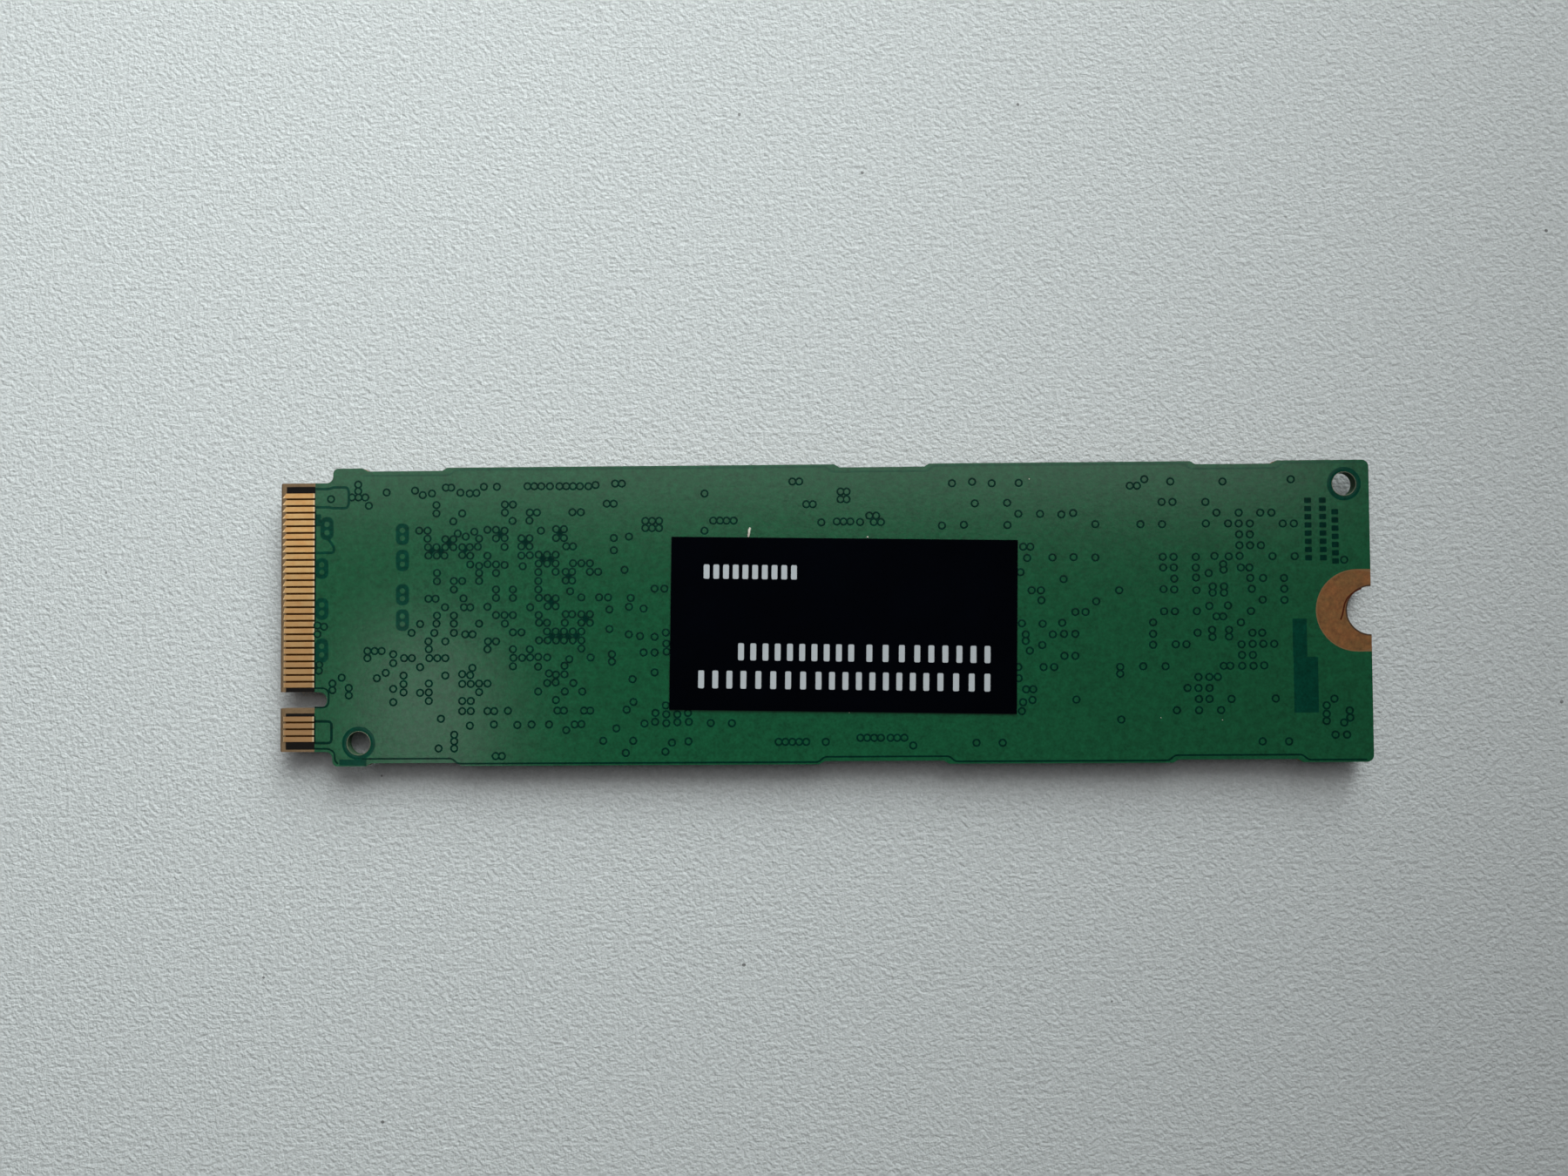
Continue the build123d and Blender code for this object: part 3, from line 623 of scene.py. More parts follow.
def disc_group():
    """1 within a radius of a middle, seen along Z, fading over Soft outside it."""
    tree, given, result = new_group(
        "Disc",
        (("Vector", "NodeSocketVector", None), ("Middle", "NodeSocketVector", None),
         ("Radius", "NodeSocketFloat", 0.001), ("Soft", "NodeSocketFloat", 0.0001)),
        (("Mask", "NodeSocketFloat"),))
    flat = put(tree, "ShaderNodeVectorMath", {"operation": "MULTIPLY"})
    join(tree, given["Vector"], flat.inputs[0])
    join(tree, (1.0, 1.0, 0.0), flat.inputs[1])
    reach = put(tree, "ShaderNodeVectorMath", {"operation": "DISTANCE"})
    join(tree, flat.outputs[0], reach.inputs[0])
    join(tree, given["Middle"], reach.inputs[1])
    beyond = sums(tree, "SUBTRACT", reach.outputs["Value"], given["Radius"])
    fade = clamped(tree, sums(tree, "DIVIDE", beyond, given["Soft"]))
    join(tree, sums(tree, "SUBTRACT", 1.0, fade), result["Mask"])
    return tree


GROUP_MAKERS = {
    "Mottle": mottle_group, "Grain": grain_group, "Specks": speck_group, "Window": window_group,
    "Disc": disc_group,
}


def use(tree, name, **values):
    """Places a shared effect in a material with its own values; returns its outputs."""
    made = bpy.data.node_groups.get(name) or GROUP_MAKERS[name]()
    node = put(tree, "ShaderNodeGroup", {"node_tree": made})
    return fill(tree, node, values).outputs


def new_finish(name, **values):
    """A material with one Principled shader; returns material, tree, shader and object place."""
    made = bpy.data.materials.new("card_" + name)
    made.use_nodes = True
    tree = made.node_tree
    tree.nodes.clear()
    shader = put(tree, "ShaderNodeBsdfPrincipled", **values)
    end = tree.nodes.new("ShaderNodeOutputMaterial")
    tree.links.new(shader.outputs[0], end.inputs[0])
    place = tree.nodes.new("ShaderNodeTexCoord").outputs["Object"]
    return made, tree, shader, place


def mottled(tree, place, colour, fine, broad, spread):
    """A colour with cloudy lightness."""
    tone = use(tree, "Mottle", Vector=place, Fine=fine, Broad=broad, Spread=spread)
    return shaded(tree, colour, tone["Value"])


def clouds(tree, place, fine, broad, spread):
    """Clouds of 1 in 0 with soft edges."""
    tone = use(tree, "Mottle", Vector=place, Fine=fine, Broad=broad, Spread=spread)
    return clamped(tree, sums(tree, "SUBTRACT", tone["Value"], CLOUD_FLOOR))


def grained(tree, shader, place, scale, depth, strength, gloss=None):
    """Gives the shader a grained surface, and a roughness that follows the grain between two limits."""
    grain = use(tree, "Grain", Vector=place, Scale=scale, Depth=depth, Strength=strength)
    join(tree, grain["Normal"], shader.inputs["Normal"])
    if gloss:
        least, most = gloss
        roughness = ranged(tree, grain["Height"], To_Min=least, To_Max=most)
        join(tree, roughness, shader.inputs["Roughness"])


def laminate_finish(scene):
    """Glass cloth laminate: tan, with plies showing in the cut edge, and dark where the contacts stand."""
    colours = scene.card_colours
    made, tree, shader, place = new_finish("laminate", Roughness=0.62, Specular_IOR_Level=0.06)
    tan = mottled(tree, place, colours.laminate, fine=5000.0, broad=700.0, spread=0.5)
    plies = put(tree, "ShaderNodeTexWave", {"wave_type": "BANDS", "bands_direction": "Z"}, Vector=place,
                Scale=2400.0, Distortion=0.8, Detail=2.0, Phase_Offset=1.24)
    shade = shaded(tree, tan, ranged(tree, plies.outputs["Fac"], To_Min=0.82, To_Max=1.18))
    for spans, end, colour in ((CONTACT_WINDOWS, WINDOW_END, colours.window),
                               (CONTACT_ROWS, ROW_END, colours.contact_gap)):
        for low, high in spans:
            window = use(tree, "Window", Vector=place, Low_X=WINDOW_START, High_X=end,
                         Low_Y=low * MM, High_Y=high * MM, Soft=0.05 * MM)
            shade = blend(tree, window["Mask"], shade, colour)
    for hole in TOOLING_HOLES:
        wall = use(tree, "Disc", Vector=place, Middle=hole, Radius=HOLE_WALL_REACH, Soft=0.1 * MM)
        shade = blend(tree, wall["Mask"], shade, colours.hole_wall)
    join(tree, shade, shader.inputs["Base Color"])
    grained(tree, shader, place, scale=4200.0, depth=0.04 * MM, strength=0.5)
    return made


def gold_finish(scene):
    """Plated contacts with warm clouds, a painted highlight at their ends, fine rubbing marks, and painted
    shade towards the lower contacts beside the key slot.
    """
    colours = scene.card_colours
    made, tree, shader, place = new_finish("gold", Metallic=0.6)
    along = put(tree, "ShaderNodeMapping", Vector=place, Scale=(0.12, 1.0, 1.0)).outputs[0]
    warm = clouds(tree, place, fine=2600.0, broad=800.0, spread=2.4)
    clouded = blend(tree, warm, colours.gold, colours.gold_warm)
    # Painted shade: the gold darkens from the upper contacts towards the lower ones
    across = put(tree, "ShaderNodeSeparateXYZ", Vector=place).outputs["Y"]
    shade_start, shade_full = CONTACT_SHADE_Y
    toned = ranged(tree, across, From_Min=shade_start, From_Max=shade_full, To_Max=0.9)
    shaded_low = blend(tree, toned, clouded, colours.gold_shade)
    # Painted highlight: the contacts are paler at their tips and roots, outside their even body
    tip, root = CONTACT_BODY
    body = use(tree, "Window", Vector=place, Low_X=tip, High_X=root, Low_Y=BOARD[0].y, High_Y=BOARD[1].y,
               Soft=0.12 * MM)
    highlit_ends = blend(tree, body["Mask"], colours.gold_highlight, shaded_low)
    rubbed = mottled(tree, along, highlit_ends, fine=9000.0, broad=1500.0, spread=0.35)
    join(tree, rubbed, shader.inputs["Base Color"])
    grained(tree, shader, along, scale=8000.0, depth=0.01 * MM, strength=0.35, gloss=(0.25, 0.40))
    return made


def copper_finish(scene):
    """Dull copper, paler along its outer rim and brown along the screw notch."""
    colours = scene.card_colours
    made, tree, shader, place = new_finish("copper", Metallic=0.25)
    warm = clouds(tree, place, fine=3100.0, broad=900.0, spread=2.2)
    clouded = blend(tree, warm, colours.copper, colours.copper_warm)
    toned = mottled(tree, place, clouded, fine=5200.0, broad=2000.0, spread=1.0)
    field = use(tree, "Disc", Vector=place, Middle=PAD_MIDDLE, Radius=PAD_FIELD, Soft=0.04 * MM)
    rimmed = blend(tree, field["Mask"], colours.pad_rim, toned)
    notch = use(tree, "Disc", Vector=place, Middle=NOTCH_MIDDLE, Radius=NOTCH_EDGE, Soft=0.06 * MM)
    edged = blend(tree, notch["Mask"], rimmed, colours.pad_edge)
    join(tree, edged, shader.inputs["Base Color"])
    grained(tree, shader, place, scale=6000.0, depth=0.02 * MM, strength=0.4, gloss=(0.45, 0.65))
    return made


def label_finish(scene):
    """Black film with a faint tooth and a little dust."""
    colours = scene.card_colours
    made, tree, shader, place = new_finish("label_film", Roughness=0.6, Specular_IOR_Level=0.018)
    film = mottled(tree, place, colours.label, fine=6000.0, broad=300.0, spread=0.8)
    dust = use(tree, "Specks", Vector=place, Scale=700.0, Size=0.06, Share=0.03)
    dusty = blend(tree, dust["Mask"], film, colours.label_dust)
    join(tree, dusty, shader.inputs["Base Color"])
    grained(tree, shader, place, scale=5000.0, depth=0.02 * MM, strength=0.3)
    return made


def table_finish(scene):
    """A pale, slightly rough table top that fades into the backdrop far from the card."""
    colours = scene.card_colours
    made, tree, shader, place = new_finish("table_top", Roughness=0.7, Specular_IOR_Level=0.12)
    pale = mottled(tree, place, colours.table, fine=5200.0, broad=1900.0, spread=0.34)
    specks = use(tree, "Specks", Vector=place, Scale=330.0, Size=0.045, Share=0.12)
    specked = blend(tree, specks["Mask"], pale, colours.table_speck)
    join(tree, specked, shader.inputs["Base Color"])
    grained(tree, shader, place, scale=3100.0, depth=0.18 * MM, strength=1.0)
    wide, deep = NEAR_TABLE
    near = use(tree, "Window", Vector=place, Low_X=-wide, High_X=wide, Low_Y=-deep, High_Y=deep,
               Soft=NEAR_TABLE_FADE)
    path = put(tree, "ShaderNodeLightPath")
    seen = sums(tree, "MAXIMUM", path.outputs["Is Camera Ray"], path.outputs["Is Glossy Ray"])
    far = sums(tree, "MULTIPLY", sums(tree, "SUBTRACT", 1.0, near["Mask"]), seen)
    haze = put(tree, "ShaderNodeEmission", Color=BACKDROP_TINT, Strength=scene.card_stage.backdrop)
    both = put(tree, "ShaderNodeMixShader", Fac=far)
    tree.links.new(shader.outputs[0], both.inputs[1])
    tree.links.new(haze.outputs[0], both.inputs[2])
    end = next(node for node in tree.nodes if node.type == "OUTPUT_MATERIAL")
    tree.links.new(both.outputs[0], end.inputs[0])
    return made


def mask_finish(name, colour, shine):
    """Green lacquer: cloudy colour, slight orange peel and uneven gloss."""
    made, tree, shader, place = new_finish(name, Specular_IOR_Level=shine)
    cloudy = mottled(tree, place, colour, fine=5600.0, broad=2300.0, spread=0.85)
    join(tree, cloudy, shader.inputs["Base Color"])
    grained(tree, shader, place, scale=4200.0, depth=0.01 * MM, strength=0.35, gloss=(0.11, 0.24))
    return made


def moulded_finish(name, colour, roughness, grain, depth, spread, **values):
    """A matt moulded, pressed or fired surface with its own grain."""
    made, tree, shader, place = new_finish(name, **values)
    cloudy = mottled(tree, place, colour, fine=grain, broad=grain / MOULDED_BREADTH, spread=spread)
    join(tree, cloudy, shader.inputs["Base Color"])
    grained(tree, shader, place, scale=grain, depth=depth * MM, strength=0.6,
            gloss=(roughness - MOULDED_SWING, roughness + MOULDED_SWING))
    return made


# Lacquers: colour, and how strongly the surface mirrors
MASKS = {
    "solder_mask": ("mask", 0.53),
    "mask_gap": ("mask_gap", 0.07),
    "mask_bare": ("mask_bare", 0.12),
    # The far edge's lacquer is partly painted light: lighter than the near edge's gap
    "mask_rim": ("mask_rim", 0.4),
}

# Moulded, pressed and fired surfaces: colour, roughness, grain, its depth in millimetres, spread of tone
MOULDED = {
    "scratch": ("scratch", 0.7, 6000.0, 0.01, 0.6),
    # The hole rim finish is a painted highlight
    "hole_rim": ("hole_rim", 0.5, 6000.0, 0.01, 0.5),
    "label_print": ("print_grey", 0.6, 7000.0, 0.005, 0.12),
    "chip_mould": ("mould", 0.6, 9000.0, 0.01, 0.3),
    "chip_substrate": ("substrate", 0.45, 5000.0, 0.01, 0.3),
    "solder": ("solder", 0.32, 4000.0, 0.01, 0.25),
    "inductor_block": ("inductor", 0.6, 7000.0, 0.02, 0.5),
    "capacitor_ceramic": ("capacitor", 0.5, 6000.0, 0.01, 0.4),
    "resistor_body": ("resistor", 0.35, 6000.0, 0.01, 0.3),
    "white_ceramic": ("ceramic", 0.5, 6000.0, 0.01, 0.15),
    "crystal_metal": ("lid", 0.3, 5000.0, 0.01, 0.2),
    "fleck": ("fleck", 0.6, 12000.0, 0.02, 0.5),
}

# How much broader their tone is than their grain, and how far their roughness swings
MOULDED_BREADTH = 9
MOULDED_SWING = 0.07

# Shader sockets that only some of them set
MOULDED_SOCKETS = {
    "scratch": {"Specular_IOR_Level": 0.1},
    "solder": {"Metallic": 1.0},
    "crystal_metal": {"Metallic": 1.0},
}

OWN_FINISHES = {
    "laminate": laminate_finish, "gold": gold_finish, "copper": copper_finish, "label_film": label_finish,
    "table_top": table_finish,
}


def finish_named(context, name):
    """The named finish, made the first time it is asked for."""
    made = bpy.data.materials.get("card_" + name)
    if made:
        return made
    colours = context.scene.card_colours
    if name in MASKS:
        colour, shine = MASKS[name]
        return mask_finish(name, getattr(colours, colour), shine)
    if name in MOULDED:
        colour, *surface = MOULDED[name]
        return moulded_finish(name, getattr(colours, colour), *surface, **MOULDED_SOCKETS.get(name, {}))
    return OWN_FINISHES[name](context.scene)


# Modelling


def clear_selection():
    """Leaves edit mode and selects nothing."""
    if bpy.context.mode != "OBJECT":
        bpy.ops.object.mode_set(mode="OBJECT")
    bpy.ops.object.select_all(action="DESELECT")


@contextmanager
def editing():
    """Edit mode on the active object, with all of it selected."""
    bpy.ops.object.mode_set(mode="EDIT")
    bpy.ops.mesh.select_all(action="SELECT")
    yield
    bpy.ops.object.mode_set(mode="OBJECT")


def named(made, name):
    """Names an object and its mesh alike."""
    made.name = name
    made.data.name = name
    return made


def settle(name):
    """Names the active object and puts its place into its mesh."""
    bpy.ops.object.transform_apply(location=True, rotation=True, scale=True)
    return named(bpy.context.object, name)


def coat(context, made, finish):
    """Gives an object one finish all over."""
    made.data.materials.clear()
    made.data.materials.append(finish_named(context, finish))


def dress(context, made, finish):
    """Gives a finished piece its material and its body."""
    coat(context, made, finish)
    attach(made, "root")


def joined(parts, name):
    """Joins several modelled parts as one piece."""
    clear_selection()
    for part in parts:
        part.select_set(True)
    bpy.context.view_layer.objects.active = parts[0]
    bpy.ops.object.join()
    return named(parts[0], name)


def scatter(master, places, name):
    """Copies a modelled piece to each place, each copy with its own mesh, and joins them as one piece."""
    clear_selection()
    for place in places:
        copy = master.copy()
        copy.data = master.data.copy()
        copy.data.transform(place if isinstance(place, Matrix) else Matrix.Translation(place))
        bpy.context.collection.objects.link(copy)
        copy.select_set(True)
        bpy.context.view_layer.objects.active = copy
    bpy.data.objects.remove(master)
    bpy.ops.object.join()
    return named(bpy.context.object, name)


def pick_top():
    """In edit mode, selects the faces that look up and nothing else."""
    mesh = bmesh.from_edit_mesh(bpy.context.object.data)
    bpy.ops.mesh.select_all(action="DESELECT")
    for face in mesh.faces:
        face.select_set(face.normal.z > UPWARD)
    mesh.select_flush_mode()
    bmesh.update_edit_mesh(bpy.context.object.data)


def low_ring(name, radius, width, height, sides):
    """A low ring with sloping sides, half sunk in the surface at its own origin."""
    clear_selection()
    bpy.ops.mesh.primitive_torus_add(
        major_segments=sides, minor_segments=4, major_radius=radius, minor_radius=width / 2)
    with editing():
        bpy.ops.transform.resize(value=(1, 1, 2 * height / width))
    return settle(name)


def button(name, radius, height, sides):
    """A low round pad with a bevelled rim and a dimple, half sunk in the surface."""
    clear_selection()
    bpy.ops.mesh.primitive_cylinder_add(vertices=sides, radius=radius, depth=2 * height)
    with editing():
        pick_top()
        bpy.ops.mesh.inset(thickness=radius * PAD_RIM, depth=height * PAD_CROWN)
        bpy.ops.mesh.inset(thickness=radius * PAD_SLOPE, depth=-height * PAD_DIMPLE)
    return settle(name)


def thickened(made, height):
    """Makes a flat piece a closed plate, half above its plane and half below."""
    thick = made.modifiers.new("Thickness", "SOLIDIFY")
    thick.thickness = 2 * height
    thick.offset = 0
    bpy.ops.object.modifier_apply(modifier=thick.name)
    with editing():
        bpy.ops.mesh.normals_make_consistent(inside=False)
    return made


def ribbon(name, points, width, height):
    """A flat raised strip along a run of points, half sunk in the surface at the points' height."""
    clear_selection()
    count = len(points)
    bpy.ops.mesh.primitive_grid_add(x_subdivisions=count - 1, y_subdivisions=1, size=1.0)
    made = bpy.context.object
    rows = sorted(made.data.vertices, key=lambda v: (round(v.co.x, 6), v.co.y))
    for index, point in enumerate(points):
        before = points[max(index - 1, 0)]
        after = points[min(index + 1, count - 1)]
        first = (point - before).to_2d()
        second = (after - point).to_2d()
        first = first.normalized() if first.length else second.normalized()
        second = second.normalized() if second.length else first
        along = (first + second).normalized()
        stretch = 1 / max(LEAST_COSINE, along.dot(second))
        side = Vector((-along.y, along.x, 0)) * (width / 2 * stretch)
        rows[2 * index].co = point - side
        rows[2 * index + 1].co = point + side
    thickened(made, height)
    return settle(name)


def rounded(points, radius, steps=5):
    """The run of points with its inner corners rounded."""
    run = [points[0]]
    for before, corner, after in zip(points, points[1:], points[2:]):
        back = before - corner
        on = after - corner
        cut = min(radius, back.length * LARGEST_CUT, on.length * LARGEST_CUT)
        start = corner + back.normalized() * cut
        end = corner + on.normalized() * cut
        for step in range(steps + 1):
            share = step / steps
            run.append(start.lerp(corner, share).lerp(corner.lerp(end, share), share))
    run.append(points[-1])
    return run


def plate(name, low, high, height, corner):
    """A thin plate with rounded corners, half sunk in the surface at its own height."""
    clear_selection()
    bpy.ops.mesh.primitive_plane_add(size=1.0, location=(low + high) / 2)
    bpy.context.object.scale = (abs(high.x - low.x), abs(high.y - low.y), 1)
    made = settle(name)
    with editing():
        bpy.ops.mesh.bevel(offset=corner, segments=4, affect="VERTICES")
    return thickened(made, height)


def on_board(context, px, py, height=BACK_FACE):
    """The place at a height over the table that a picture point shows."""
    stage = context.scene.card_stage
    reach = stage.lens / SENSOR_WIDTH * IMAGE_WIDTH
    ray = Vector((px - IMAGE_WIDTH / 2, IMAGE_HEIGHT / 2 - py, -reach))
    ray.rotate(Euler(stage.eye_turn))
    eye = Vector(stage.eye)
    return eye + ray * ((height - eye.z) / ray.z)


def read_view(context, corner, enlargement, places):
    """The places on the bare face that were read in one enlarged view."""
    left, top = corner
    return [on_board(context, left + across / enlargement, top + down / enlargement)
            for across, down in places]


def via_places(context):
    """Every via once, on the bare face."""
    spacing = context.scene.card_sizes.via_spacing
    found = []
    for view in VIA_VIEWS:
        for place in read_view(context, *view):
            if all((place - other).length > spacing for other in found):
                found.append(place)
    return found


def lay_vias(context, places, gaps, pads):
    """Lays a dark gap and a covered pad at each place, as two named pieces."""
    sizes = context.scene.card_sizes
    ring = low_ring("via_gap", sizes.via_radius, sizes.via_gap, sizes.relief, VIA_RING_SIDES)
    dress(context, scatter(ring, places, gaps), "mask_gap")
    pad = button("via_pad", sizes.pad_radius, sizes.relief * VIA_PAD_RISE, VIA_PAD_SIDES)
    dress(context, scatter(pad, places, pads), "solder_mask")


# Operators


class CARD_OT_finish_board(bpy.types.Operator):
    """Give the board, mask, contacts, screw pads and label their finishes"""

    bl_idname = "card.finish_board"
    bl_label = "Board Finishes"

    finishes = {
        "circuit_board": "laminate",
        "solder_mask_back": "solder_mask",
        "solder_mask_front": "solder_mask",
        "edge_contacts_back": "gold",
        "edge_contacts_front": "gold",
        "screw_pad_back": "copper",
        "screw_pad_front": "copper",
        "label": "label_film",
    }

    def execute(self, context):
        for node, finish in self.finishes.items():
            coat(context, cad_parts[node], finish)
        return {"FINISHED"}


class CARD_OT_finish_components(bpy.types.Operator):
    """Give the chips, coils, capacitors, resistors and solder their finishes"""

    bl_idname = "card.finish_components"
    bl_label = "Component Finishes"

    # Finish of each node by the end of its name
    endings = (
        ("_solder_balls", "solder"), ("_lands", "solder"), ("_end_caps", "solder"),
        ("_terminals", "solder"), ("_substrate", "chip_substrate"), ("inductors", "inductor_block"),
        ("capacitors", "capacitor_ceramic"), ("resistors", "resistor_body"),
        ("crystal_base", "white_ceramic"), ("crystal_lid", "crystal_metal"),
        ("controller", "chip_mould"), ("memory_chip", "chip_mould"), ("flash_chip_1", "chip_mould"),
        ("flash_chip_2", "chip_mould"), ("power_chip", "chip_mould"), ("voltage_regulator", "chip_mould"),
    )

    def execute(self, context):
        for node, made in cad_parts.items():
            if node in CARD_OT_finish_board.finishes:
                continue
            finish = next((finish for ending, finish in self.endings if node.endswith(ending)), None)
            if finish is None:
                raise RuntimeError(f"no finish is given for {node}")
            coat(context, made, finish)
        return {"FINISHED"}


class CARD_OT_vias(bpy.types.Operator):
    """Lay the via gaps and their covered pads over the bare face"""

    bl_idname = "card.vias"
    bl_label = "Vias"

    # The star's share of the relief. Its corners off both axes by more than star_arm, a share of its reach,
    # are drawn in to star_waist
    star_rise = 0.4
    star_arm = 0.3
    star_waist = 0.62

    def star(self, reach, height):
        """A thin four-pointed plate that fills the place between four vias."""
        clear_selection()
        bpy.ops.mesh.primitive_circle_add(vertices=8, radius=reach, fill_type="NGON")
        made = bpy.context.object
        for vertex in made.data.vertices:
            if min(abs(vertex.co.x), abs(vertex.co.y)) > reach * self.star_arm:
                vertex.co *= self.star_waist
        return thickened(made, height)

    def execute(self, context):
        sizes = context.scene.card_sizes
        lay_vias(context, via_places(context), "via_gaps", "via_pads")
        star = self.star(sizes.star_reach, sizes.relief * self.star_rise)
        stars = scatter(star, read_view(context, *STAR_VIEW), "closed_gaps")
        dress(context, stars, "mask_gap")
        return {"FINISHED"}


class CARD_OT_front_vias(bpy.types.Operator):
    """Lay the vias that come out between the components on the other face"""

    bl_idname = "card.front_vias"
    bl_label = "Front Vias"

    # Places that are looked at round a via, and how flat the face has to be there
    probes = 8
    flatness = 0.001 * MM

    def is_bare(self, context, place, reach):
        """Whether the other face is bare at a place and all round it."""
        graph = context.evaluated_depsgraph_get()
        steps = [Vector((reach, 0, 0)) for _ in range(self.probes)]
        for index, step in enumerate(steps):
            step.rotate(Euler((0, 0, 2 * math.pi * index / self.probes)))
        for step in (Vector(), *steps):
            start = Vector((place.x + step.x, place.y + step.y, CAD_BOX[0].z - MM))
            found, where, *_ = context.scene.ray_cast(graph, start, UP)
            if not found or abs(where.z - FRONT_FACE) > self.flatness:
                return False
        return True

    def execute(self, context):
        sizes = context.scene.card_sizes
        reach = sizes.via_radius + sizes.via_gap
        turned = Matrix.Rotation(math.pi, 4, "X")
        places = []
        for place in via_places(context):
            if self.is_bare(context, place, reach):
                places.append(Matrix.Translation((place.x, place.y, FRONT_FACE)) @ turned)
        if not places:
            raise RuntimeError("no via comes out on the other face")
        lay_vias(context, places, "front_via_gaps", "front_via_pads")
        return {"FINISHED"}


class CARD_OT_paired_pads(bpy.types.Operator):
    """Lay the pairs of pads that stand in wide gaps near the contacts"""

    bl_idname = "card.paired_pads"
    bl_label = "Paired Pads"

    # Where the pads stand along their gap, the gap's share of the relief and its corners' share of its width
    pad_shares = (0.32, 0.68)
    gap_rise = 0.5
    gap_corner = 0.42

    # Size and height of a pad as shares of a via's pad and of the relief, and its sides
    pad_growth = 1.1
    pad_rise = 1.2
    pad_sides = 14

    def execute(self, context):
        sizes = context.scene.card_sizes
        half = Vector((sizes.wide_gap / 2, 0, 0))
        height = sizes.relief * self.gap_rise
        corner = sizes.wide_gap * self.gap_corner
        parts, places = [], []
        for number, (across, top, bottom) in enumerate(PAIRED_PADS):
            upper = on_board(context, across, top)
            lower = on_board(context, across, bottom)
            parts.append(plate(f"wide_gap_{number}", lower - half, upper + half, height, corner))
            places += [upper.lerp(lower, share) for share in self.pad_shares]
        dress(context, joined(parts, "wide_gaps"), "mask_bare")
        radius = sizes.pad_radius * self.pad_growth
        pad = button("paired_pad", radius, sizes.relief * self.pad_rise, self.pad_sides)
        dress(context, scatter(pad, places, "paired_pads"), "solder_mask")
        return {"FINISHED"}


class CARD_OT_pour_lines(bpy.types.Operator):
    """Lay the gaps etched round copper areas and along the long edges"""

    bl_idname = "card.pour_lines"
    bl_label = "Etched Lines"

    # Distance of an edge line from the board's edge, also along a recess, and the length of its slope there
    edge_margin = 0.17 * MM
    recess_margin = 0.55 * MM
    recess_slope = 0.35 * MM

    # Recesses of the two long edges and ends of the edge lines, along X in millimetres
    lower_recesses = ((-35.8, -27.2), (0.1, 9.3), (25.6, 34.9))
    upper_recesses = ((-35.6, -27.4), (0.8, 7.9), (27.0, 33.4))
    line_ends = (-33.9, 39.5)

    # Radius of the corners, of those round the key notch and the shoulder, and the edge lines' corner steps
    corner_radius = 0.3 * MM
    rim_radii = (0.70 * MM, 0.20 * MM)
    edge_steps = 3

    # Shares of the relief for the lines and for the strip without copper
    line_rise = 0.8
    strip_rise = 0.3

    def loop(self, context, places, radius, width):
        """A gap along a run of picture places, from the mask's edge on."""
        height = context.scene.card_sizes.relief * self.line_rise
        points = [on_board(context, *place) for place in places]
        for point in points:
            point.x = max(point.x, MASK_EDGE)
        return ribbon("loop", rounded(points, radius), width, height)

    def end_gap(self, context, levels):
        """A gap between the contacts and the mask, drawn dark as painted shade at the mask's edge, from one
        picture row to another.
        """
        sizes = context.scene.card_sizes
        points = [on_board(context, END_GAP_COLUMN, level) for level in levels]
        for point in points:
            point.x = MASK_EDGE + sizes.end_gap / 2
        return ribbon("end_gap", points, sizes.end_gap, sizes.relief * self.line_rise)

    def edge_run(self, side, recesses, height):
        """The line along one long edge, set further in along the recesses."""
        outer = side * (BOARD[1].y - self.edge_margin)
        inner = side * (BOARD[1].y - self.recess_margin)
        run = []
        for start, end in recesses:
            start, end = start * MM, end * MM
            run += [(start - self.recess_slope, outer), (start, inner), (end, inner),
                    (end + self.recess_slope, outer)]
        left, right = (value * MM for value in self.line_ends)
        run = [(x, y) for x, y in run if x > left]
        run = [(left, inner), *run, (right, outer)]
        return rounded([Vector((x, y, height)) for x, y in run], self.corner_radius, self.edge_steps)

    def execute(self, context):
        sizes = context.scene.card_sizes
        upper, middle, lower = (
            self.loop(context, places, self.corner_radius, sizes.line_width) for places in POUR_LOOPS)
        slot, shoulder = (
            self.loop(context, places, radius, sizes.edge_line_width)
            for places, radius in zip(RIM_LOOPS, self.rim_radii))
        # The end gaps are painted shade along the mask's edge
        ends = [self.end_gap(context, levels) for levels in END_GAPS]
        height = sizes.relief * self.line_rise
        lower_edge, upper_edge = (-1, self.lower_recesses), (1, self.upper_recesses)
        near, far, front_near, front_far = (
            ribbon("edge_line", self.edge_run(side, recesses, face), sizes.edge_line_width, height)
            for face in (BACK_FACE, FRONT_FACE) for side, recesses in (lower_edge, upper_edge))
        dark = [lower, slot, shoulder, *ends, near, front_near, front_far]
        dress(context, joined(dark, "etched_lines"), "mask_gap")
        corner = ribbon("corner_strip", [on_board(context, *point) for point in CORNER_STRIP],
                        sizes.corner_strip, sizes.relief * self.strip_rise)
        dress(context, joined([upper, middle, corner], "bare_strips"), "mask_bare")
        # The far edge line is painted lighter than the near one: painted light on the far edge
        dress(context, named(far, "far_edge_line"), "mask_rim")
        return {"FINISHED"}


